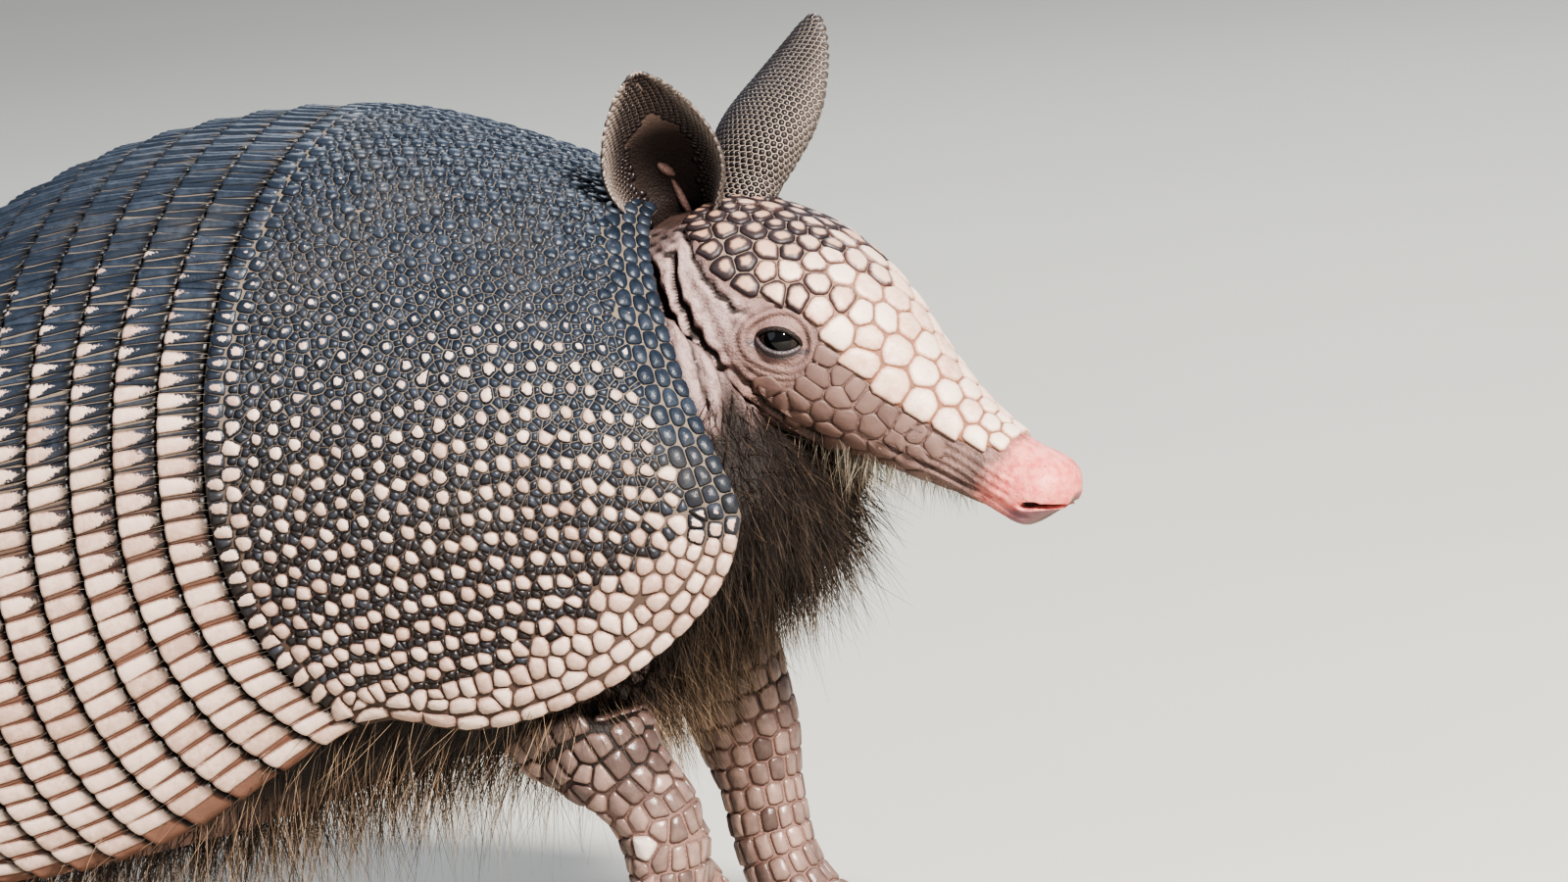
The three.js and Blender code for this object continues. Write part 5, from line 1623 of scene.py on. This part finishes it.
def make_eyes():
    finish = Finish("dark wet eye", Roughness=0.08, Coat_Weight=0.5, Coat_Roughness=0.02, IOR=1.33)
    (radial,) = finish.marks("radial")
    iris = radial.ramp(0.52, 0.6) * finish.noise(0.4).ramp(0.3, 0.7)
    finish.shade(Base_Color=finish.mix(tint(10, 8, 9), tint(46, 34, 30), iris))
    polar, turn = on_grid(np.linspace(0, math.pi, 40), full_turn(56))
    bulge = EYE_RADIUS * (1 + 0.035 * np.exp(-((polar / 0.5) ** 4)))
    for name, side in (("right", -1), ("left", 1)):
        centre, outward, long, short = eye_frame(side)
        points = centre + outward * (bulge * np.cos(polar))[..., None]
        points = points + (bulge * np.sin(polar))[..., None] * (
            long * np.cos(turn)[..., None] + short * np.sin(turn)[..., None])
        faces = grid_faces(40, 56, closed=True)
        if np.cross(long, short) @ outward < 0:
            faces = faces[:, ::-1]
        ball = Mould().add(points, [faces], radial=polar.ravel())
        ball.build(f"eyeball_{name}", finish, "eye", [f"eye_{name}"], charted=False)


def claw_line(points):
    """The middle line of a claw's solid and half its width, from its root to its point."""
    middle = points.mean(0)
    _, _, turn = np.linalg.svd(points - middle, full_matrices=False)
    ahead = turn[0] if turn[0] @ np.array([0.6, 0, -0.8]) > 0 else -turn[0]
    share = (points - middle) @ ahead
    share = (share - share.min()) / (share.max() - share.min())
    bins = [points[share <= 0.34], points[abs(share - 0.5) < 0.34], points[share >= 0.72]]
    knots = np.array([part.mean(0) if len(part) else middle for part in bins])
    wide = np.array([np.ptp((part - part.mean(0)) @ SIDEWAYS) / 2 if len(part) > 1 else 1.0 for part in bins])
    return np.column_stack([[0, 0.5, 1], knots, wide])


def make_claws():
    """Each claw is its own solid with a fine grain."""
    finish = Finish("horn of the claws", Roughness=0.35, Subsurface_Weight=0.08)
    cloud, fine = finish.noise(3), finish.noise(0.7, 4)
    colour = finish.layers(tint(196, 168, 132), (tint(150, 112, 78), cloud.ramp(0.35, 0.7)),
                           (tint(222, 202, 176), fine.ramp(0.5, 0.8) * 0.6))
    finish.shade(Base_Color=colour, Roughness=0.3 + fine * 0.25)
    finish.bump(fine, 0.15)
    rows, sides = 18, 14
    stations, around = np.linspace(0, 1, rows), full_turn(sides)
    flat = np.where(np.sin(around) > 0, 1.0, 0.62)
    for name in [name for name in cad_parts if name.startswith("claw_")]:
        line = smooth_table(claw_line(node_arrays([name])[0]), stations)
        centre, radius = line[:, :3], np.maximum(line[:, 3], 0.45) * (1 - 0.62 * stations**1.6)
        radius[0] *= 0.92
        tangent = unit(np.gradient(centre, axis=0))
        side = unit(SIDEWAYS - tangent * (tangent @ SIDEWAYS)[:, None])
        ring = centre[:, None] + radius[:, None, None] * ring_of(side, np.cross(tangent, side), around, flat)
        ring[..., 2] = np.maximum(ring[..., 2], 0.05)
        ends = np.array([centre[0], ring[-1].mean(0) + tangent[-1] * 0.3])
        root, point = fan(np.arange(sides), rows * sides), fan(last_ring(rows, sides), rows * sides + 1)
        nail = Mould().add(joined(ring.reshape(-1, 3), ends),
                           [grid_faces(rows, sides, closed=True)[:, ::-1], root, point[:, [0, 2, 1]]])
        nail.build(name.replace("claw_", "nail_"), finish, "claw", [name], charted=False)


# ---- hair
HAIR_RINGS, HAIR_SIDES = 5, 3
# Along the body from rear to front, the height of the shell's lower margin, which limits the belly's hair.
MARGIN = ([-190, -110, -60, -20, 26, 84, 113, 125], [60, 50, 45, 52, 75, 74, 90, 125])
CHEST_START = 60
JAW_HAIRS = 3200
BRISTLE_PITCH = 1.9


def grow_hairs(roots, ways, lengths, widths, droop, chart, bend=0.35, **values):
    """Tapering hairs, each a thin three-sided spike that curls from its own way towards droop."""
    count, each = len(roots), HAIR_RINGS * HAIR_SIDES
    ways = unit(ways)
    side = unit(np.cross(ways, unit(CHANCE.normal(0, 1, (count, 3)))))
    sway = CHANCE.normal(0, bend * 0.5, (count, 3)) + droop * bend
    turn = np.arange(HAIR_SIDES) * TURN / HAIR_SIDES
    section = ring_of(side, np.cross(ways, side), turn)
    layers = []
    for share in np.arange(HAIR_RINGS) / (HAIR_RINGS - 1):
        centre = roots + (ways * share + sway * share**2) * lengths[:, None]
        radius = widths * (1 - 0.85 * share**1.4) / 2
        layers.append(centre[:, None] + radius[:, None, None] * section)
    points = np.concatenate(layers, 1).reshape(-1, 3)
    points[:, 2] = np.maximum(points[:, 2], 0.3)
    i, j = np.arange(HAIR_SIDES), (np.arange(HAIR_SIDES) + 1) % HAIR_SIDES
    walls = columns_of(i, j, j + HAIR_SIDES, i + HAIR_SIDES)
    blocks = [walls + row * HAIR_SIDES for row in range(HAIR_RINGS - 1)]
    blocks.append(last_ring(HAIR_RINGS, HAIR_SIDES)[None])
    base = (np.arange(count) * each)[:, None, None]
    faces = [(base + block).reshape(-1, block.shape[1]) for block in blocks]
    up = np.repeat(np.linspace(-1, 1, HAIR_RINGS), HAIR_SIDES)
    patch = columns_of(up, np.tile(np.cos(turn), HAIR_RINGS))
    charts = (chart[:, None] + patch * 0.0015).reshape(-1, 2)
    share = np.tile(np.repeat(np.linspace(0, 1, HAIR_RINGS), HAIR_SIDES), count)
    values = {name: np.repeat(value, each) for name, value in values.items()}
    return Mould().add(points, faces, charts, share=share, **values)


def make_belly_hair(finish, points, normals):
    """Coarse sparse hair over the chest and belly, thickest between the forelegs."""
    x, y, z = points.T
    margin = np.interp(x, *MARGIN)
    on_belly = ((z < margin + 6) & (normals[:, 2] < 0.35) & (z > 30)) | ((x > 86) & (z < 136) & (z > 30))
    for line in LIMBS.values():
        line = np.array(line, float)
        for p, q in zip(line[:-1], line[1:]):
            near = np.clip(((points - p) @ (q - p)) / ((q - p) @ (q - p)), 0, 1)[:, None]
            far = reach_of(points - (p + (q - p) * near))
            on_belly &= (far > 17) | (z > margin - 4)
    pool = np.nonzero(on_belly)[0]
    picked = pool[CHANCE.random(len(pool)) < np.where(x[pool] > CHEST_START, 0.62, 0.22)]
    roots, n = points[picked], normals[picked]
    x, y, z = roots.T
    back = columns_of(-0.55 * (1 - np.clip(n[:, 0], 0, 1)), 0 * x, 0 * x - 0.75)
    ways = n * 0.55 + back + CHANCE.normal(0, 0.36, n.shape)
    lengths = CHANCE.uniform(7, 17, len(picked)) * np.where(x > CHEST_START, 0.9, 1.25)
    chart = columns_of(0.01 + 0.98 * (x + 240) / 370, 0.5 + 0.49 * np.arctan2(y, 110 - z) / math.pi)
    widths = CHANCE.uniform(0.12, 0.27, len(picked))
    # Random tone, with painted shade darkening the hair on the upper chest, under the head.
    tones = CHANCE.random(len(picked)) * (1 - 0.6 * blend(62, 88, x) * blend(60, 95, z))
    for name, part in (("chest_hair", x > CHEST_START), ("belly_hair", x <= CHEST_START)):
        hair = grow_hairs((roots - n * 0.3)[part], ways[part], lengths[part], widths[part], DOWN, chart[part],
                          tone=tones[part], white=0 * lengths[part])
        hair.build(name, finish, "belly")


def make_jaw_hair(finish):
    """Softer and paler hair over the throat and jaw."""
    a = CHANCE.uniform(14, 84, JAW_HAIRS)
    b = CHANCE.uniform(2.2, math.pi, JAW_HAIRS) * CHANCE.choice([-1, 1], JAW_HAIRS)
    keep = CHANCE.random(JAW_HAIRS) < np.interp(a, [14, 50, 84], [1, 0.8, 0.2]) * blend(2.1, 2.8, abs(b))
    a, b = a[keep], b[keep]
    roots, n = HEAD.at(a, b, -0.5), HEAD.normals(a, b)
    ways = n * 0.5 + AHEAD * 0.1 + DOWN * 0.7 + CHANCE.normal(0, 0.32, n.shape)
    lengths = CHANCE.uniform(3, 11, len(a)) * np.interp(a, [14, 60, 84], [1.2, 0.9, 0.4])
    chart = columns_of(0.02 + 0.96 * (a / HEAD_LENGTH), 0.5 + 0.48 * b / math.pi)
    widths, tones = CHANCE.uniform(0.1, 0.2, len(a)), CHANCE.random(len(a))
    white = np.clip(blend(44, 66, a) * (0.3 + CHANCE.random(len(a))), 0, 0.9)
    hair = grow_hairs(roots, ways, lengths, widths, DOWN, chart, tone=tones, white=white)
    hair.build("jaw_hair", finish, "belly")


def make_bristles(finish):
    """Short bristles behind every movable band and along the shoulder shield's rear edge."""
    roots, ways, chart = [], [], []
    for n in range(BANDS + 1):
        edge = -n * BAND_PITCH + 0.25
        distance, share = girth(edge)
        s = np.arange(-distance[-1] + 2, distance[-1] - 2, BRISTLE_PITCH)
        s = s + CHANCE.normal(0, 0.5, len(s))
        q, u = np.sign(s) * np.interp(abs(s), distance, share), np.full(len(s), edge)
        along = unit(SHELL.slopes(u, q)[0])
        roots.append(SHELL.at(u, q, -0.1) + along * 0.8)
        ways.append(-along + SHELL.normals(u, q) * 0.16 + CHANCE.normal(0, 0.12, along.shape))
        chart.append(columns_of(0.5 + 0.48 * q, np.full(len(q), 0.05 + n * 0.09)))
    roots, ways, chart = np.concatenate(roots), np.concatenate(ways), np.concatenate(chart)
    lengths = CHANCE.uniform(1.6, 4.6, len(roots))
    hair = grow_hairs(roots, ways, lengths, np.full(len(roots), 0.11), DOWN * 0.2, chart, bend=0.2,
                      tone=CHANCE.random(len(roots)), white=0.3 + 0 * lengths)
    hair.build("band_bristles", finish, "shell")


def make_hair(points, normals):
    finish = Finish("coarse hair", Roughness=0.55)
    share, tone, white = finish.marks("share tone white")
    finish.shade(Base_Color=finish.layers(
        tint(40, 28, 22),
        (tint(186, 158, 132), (share * 0.8 + tone * 0.9).ramp(0.6, 1.6)),
        (tint(206, 198, 182), white),
    ))
    make_belly_hair(finish, points, normals)
    make_jaw_hair(finish)
    make_bristles(finish)


# ---- skin and scale finishes
def make_skin_finish():
    finish = Finish("bare wrinkled skin", Roughness=0.6, Subsurface_Weight=0.04, Subsurface_Scale=0.002)
    pink, dark, tender, neck, ear, tail, throat, belly, lid, lip, fold, limb = finish.marks(
        "pink dark tender neck ear tail throat belly lid lip fold limb")
    cloud, fine, mid = finish.noise(7, 4), finish.noise(0.8, 5), finish.noise(2.0, 4)
    wrinkle = finish.cracks(0.9).ramp(0.0, 0.3)
    nape = finish.mix(tint(168, 146, 144), tint(128, 104, 100), mid.ramp(0.4, 0.75))
    nose = finish.layers(
        tint(206, 106, 100),
        (tint(222, 142, 132), (mid + fine * 0.3).ramp(0.45, 0.8)),
        (tint(118, 88, 96), lip * 0.9),
        (tint(120, 62, 56), finish.noise(1.1, 2).ramp(0.68, 0.76) * 0.7),
    )
    colour = finish.layers(
        tint(130, 104, 97),
        (tint(90, 70, 66), (cloud + fine * 0.4).ramp(0.5, 0.9)),
        (nape, neck * 0.9),
        (tint(142, 114, 108), tender * 0.6),
        (tint(164, 150, 138), ear * 0.9),
        (tint(112, 92, 82), tail * 0.6),
        (tint(142, 110, 100), limb * 0.55),
        # Painted shade under the jaw and throat.
        (tint(60, 46, 40), throat * 0.75),
        # Painted shade over the chest, the tops of the legs and the skin under the shell.
        (tint(28, 20, 17), belly),
        (tint(78, 58, 52), (fine + mid * 0.5).ramp(0.85, 1.1) * (1 - pink) * 0.5),
        (nose, (pink + (mid - 0.5) * 0.7).ramp(0.2, 0.9)),
        (tint(74, 70, 74), lid * 0.85),
        # Painted shade in creases, hollows, nostrils, eye openings and lid tops.
        (tint(26, 16, 14), (dark + fold).ramp(0.1, 0.95) * 0.94),
    )
    finish.shade(Base_Color=colour, Roughness=0.6 - pink * 0.22 - lid * 0.3 + fine * 0.12)
    finish.bump(wrinkle * 0.25 * (1 - pink * 0.7) + fine * 0.45 + mid * 0.5, 0.3)
    return finish


def make_scale_finish():
    finish = Finish("leathery scales", Roughness=0.4)
    radial, tone, pale, ear, cheek = finish.marks("radial tone pale ear cheek")
    cloud, fine = finish.noise(3), finish.noise(0.5, 4)
    lit = (pale + (tone - 0.5) * 0.3 + (cloud - 0.5) * 0.5).ramp(0.05, 1.0)
    colour = finish.layers(
        finish.mix(tint(86, 70, 66), tint(172, 144, 133), lit),
        (tint(214, 198, 188), (pale - 1).ramp(0.1, 0.4)),
        (tint(106, 82, 76), cheek * 0.65),
        (finish.mix(tint(44, 37, 37), tint(150, 138, 130), pale), ear),
        (tint(88, 66, 58), (radial + fine * 0.3).ramp(0.8, 1.2) * 0.5 * (1 - ear)),
    )
    finish.shade(Base_Color=colour, Roughness=0.2 + fine * 0.2 + cheek * 0.22)
    finish.bump(fine * 0.6 + cloud * 0.4, 0.12)
    return finish


# Fineness of the skin: the body's voxels in millimetres, and rows and columns of the head and an ear.
VOXEL, QUICK_VOXEL = 1.3, 1.8
HEAD_GRID, QUICK_HEAD_GRID, EAR_GRID = (236, 250), (140, 150), (60, 40)


def build_body():
    skin, coat, horn = Mould(), Mould(), Mould()
    points, quads, normals = make_body_skin(VOXEL)
    hide = Hide(points, quads)
    x, y, z = points.T
    around = np.arctan2(y, 100 - z) / TURN + 0.5
    chart = columns_of(0.52 + 0.22 * around, 0.72 + 0.26 * (x + 240) / 370)
    # The neck's grooves are darkened with painted shade.
    folded, neck, grooves = neck_folds(points, normals)
    # belly marks painted shade over the chest and the skin under the shell.
    skin.add(folded, [quads], chart, belly=blend(44, 62, z) * (1 - neck), neck=neck, dark=0.8 * grooves,
             limb=blend(66, 52, z))
    make_head(skin, *HEAD_GRID)
    make_lids(skin)
    for name in EARS:
        make_ear(skin, coat, name, *EAR_GRID)
    make_tail(skin, coat)
    for side in (-1, 1):
        make_cheek_scales(coat, side)
    make_limb_scales(horn, hide, points, normals)
    covered = [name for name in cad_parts
               if name in (*FLESH, "head", "jaw", "nose") or name.startswith(("ear_", "tail_"))]
    skin.build("skin", make_skin_finish(), "skin", covered)
    leather = make_scale_finish()
    coat.build("fine_scales", leather, "limb")
    horn.build("limb_scales", leather, "limb")
    make_head_shield()
    make_eyes()
    make_claws()
    make_hair(points, normals)


# ---- camera, light and floor
# Where the camera aims, from which way, and the scale of its picture.
TARGET = Vector((0.287169, 0, 0.1195))
AZIMUTH, ELEVATION, ROLL = math.radians(16), math.radians(8), math.radians(6)
DISTANCE = 2.5
SENSOR, PIXELS_WIDE, PIXELS_PER_METRE = 36, 1600, 4700
# Name, place, size, power and colour.
LAMPS = [
    ("key light", (1.45, -1.25, 1.35), 0.34, 105, (1.0, 0.95, 0.88)),
    ("fill light", (-0.8, -1.5, 1.1), 1.6, 7, (0.86, 0.93, 1.0)),
    ("rim light", (0.1, 1.4, 1.3), 1.2, 12, (0.9, 0.95, 1.0)),
]
LAMP_TARGET = Vector((0.25, 0, 0.12))
FLOOR_REACH = 4


def stand(name, data, matrix=None):
    """An object of the setting, outside the model."""
    thing = bpy.data.objects.new(name, data)
    if matrix:
        thing.matrix_world = matrix
    bpy.context.collection.objects.link(thing)
    return thing


def set_camera():
    level = Vector((math.cos(AZIMUTH), math.sin(AZIMUTH), 0))
    low = math.cos(ELEVATION)
    back = Vector((math.sin(AZIMUTH) * low, -math.cos(AZIMUTH) * low, math.sin(ELEVATION)))
    right = level * math.cos(ROLL) - back.cross(level) * math.sin(ROLL)
    turn = Matrix((right, back.cross(right), back)).transposed().to_4x4()
    lens = bpy.data.cameras.new("camera")
    lens.sensor_width, lens.lens = SENSOR, SENSOR / PIXELS_WIDE * PIXELS_PER_METRE * DISTANCE
    lens.clip_end = 50
    bpy.context.scene.camera = stand("camera", lens, Matrix.Translation(TARGET + back * DISTANCE) @ turn)


def set_lights():
    for name, place, size, power, colour in LAMPS:
        light = bpy.data.lights.new(name, "AREA")
        light.shape, light.size, light.energy, light.color = "DISK", size, power, colour
        aim = (LAMP_TARGET - Vector(place)).to_track_quat("-Z", "Y")
        stand(name, light, Matrix.Translation(place) @ aim.to_matrix().to_4x4())
    world = bpy.data.worlds.new("studio air")
    world.use_nodes = True
    sky = world.node_tree.nodes["Background"].inputs
    sky["Color"].default_value, sky["Strength"].default_value = (0.80, 0.88, 1.0, 1), 0.42
    bpy.context.scene.world = world
    bpy.context.scene.view_settings.look = "AgX - High Contrast"


def set_floor():
    ground = bpy.data.meshes.new("floor")
    corners = [(x * FLOOR_REACH, y * FLOOR_REACH, 0) for x, y in ((-1, -1), (1, -1), (1, 1), (-1, 1))]
    ground.from_pydata(corners, [], [(0, 1, 2, 3)])
    floor = stand("floor", ground)
    paper = Finish("studio floor", Roughness=0.8)
    paper.shade(Base_Color=paper.mix(tint(206, 203, 194), tint(198, 194, 184), paper.noise(300)))
    ground.materials.append(paper.material)


set_camera()
set_lights()
set_floor()
build_shell()
build_body()
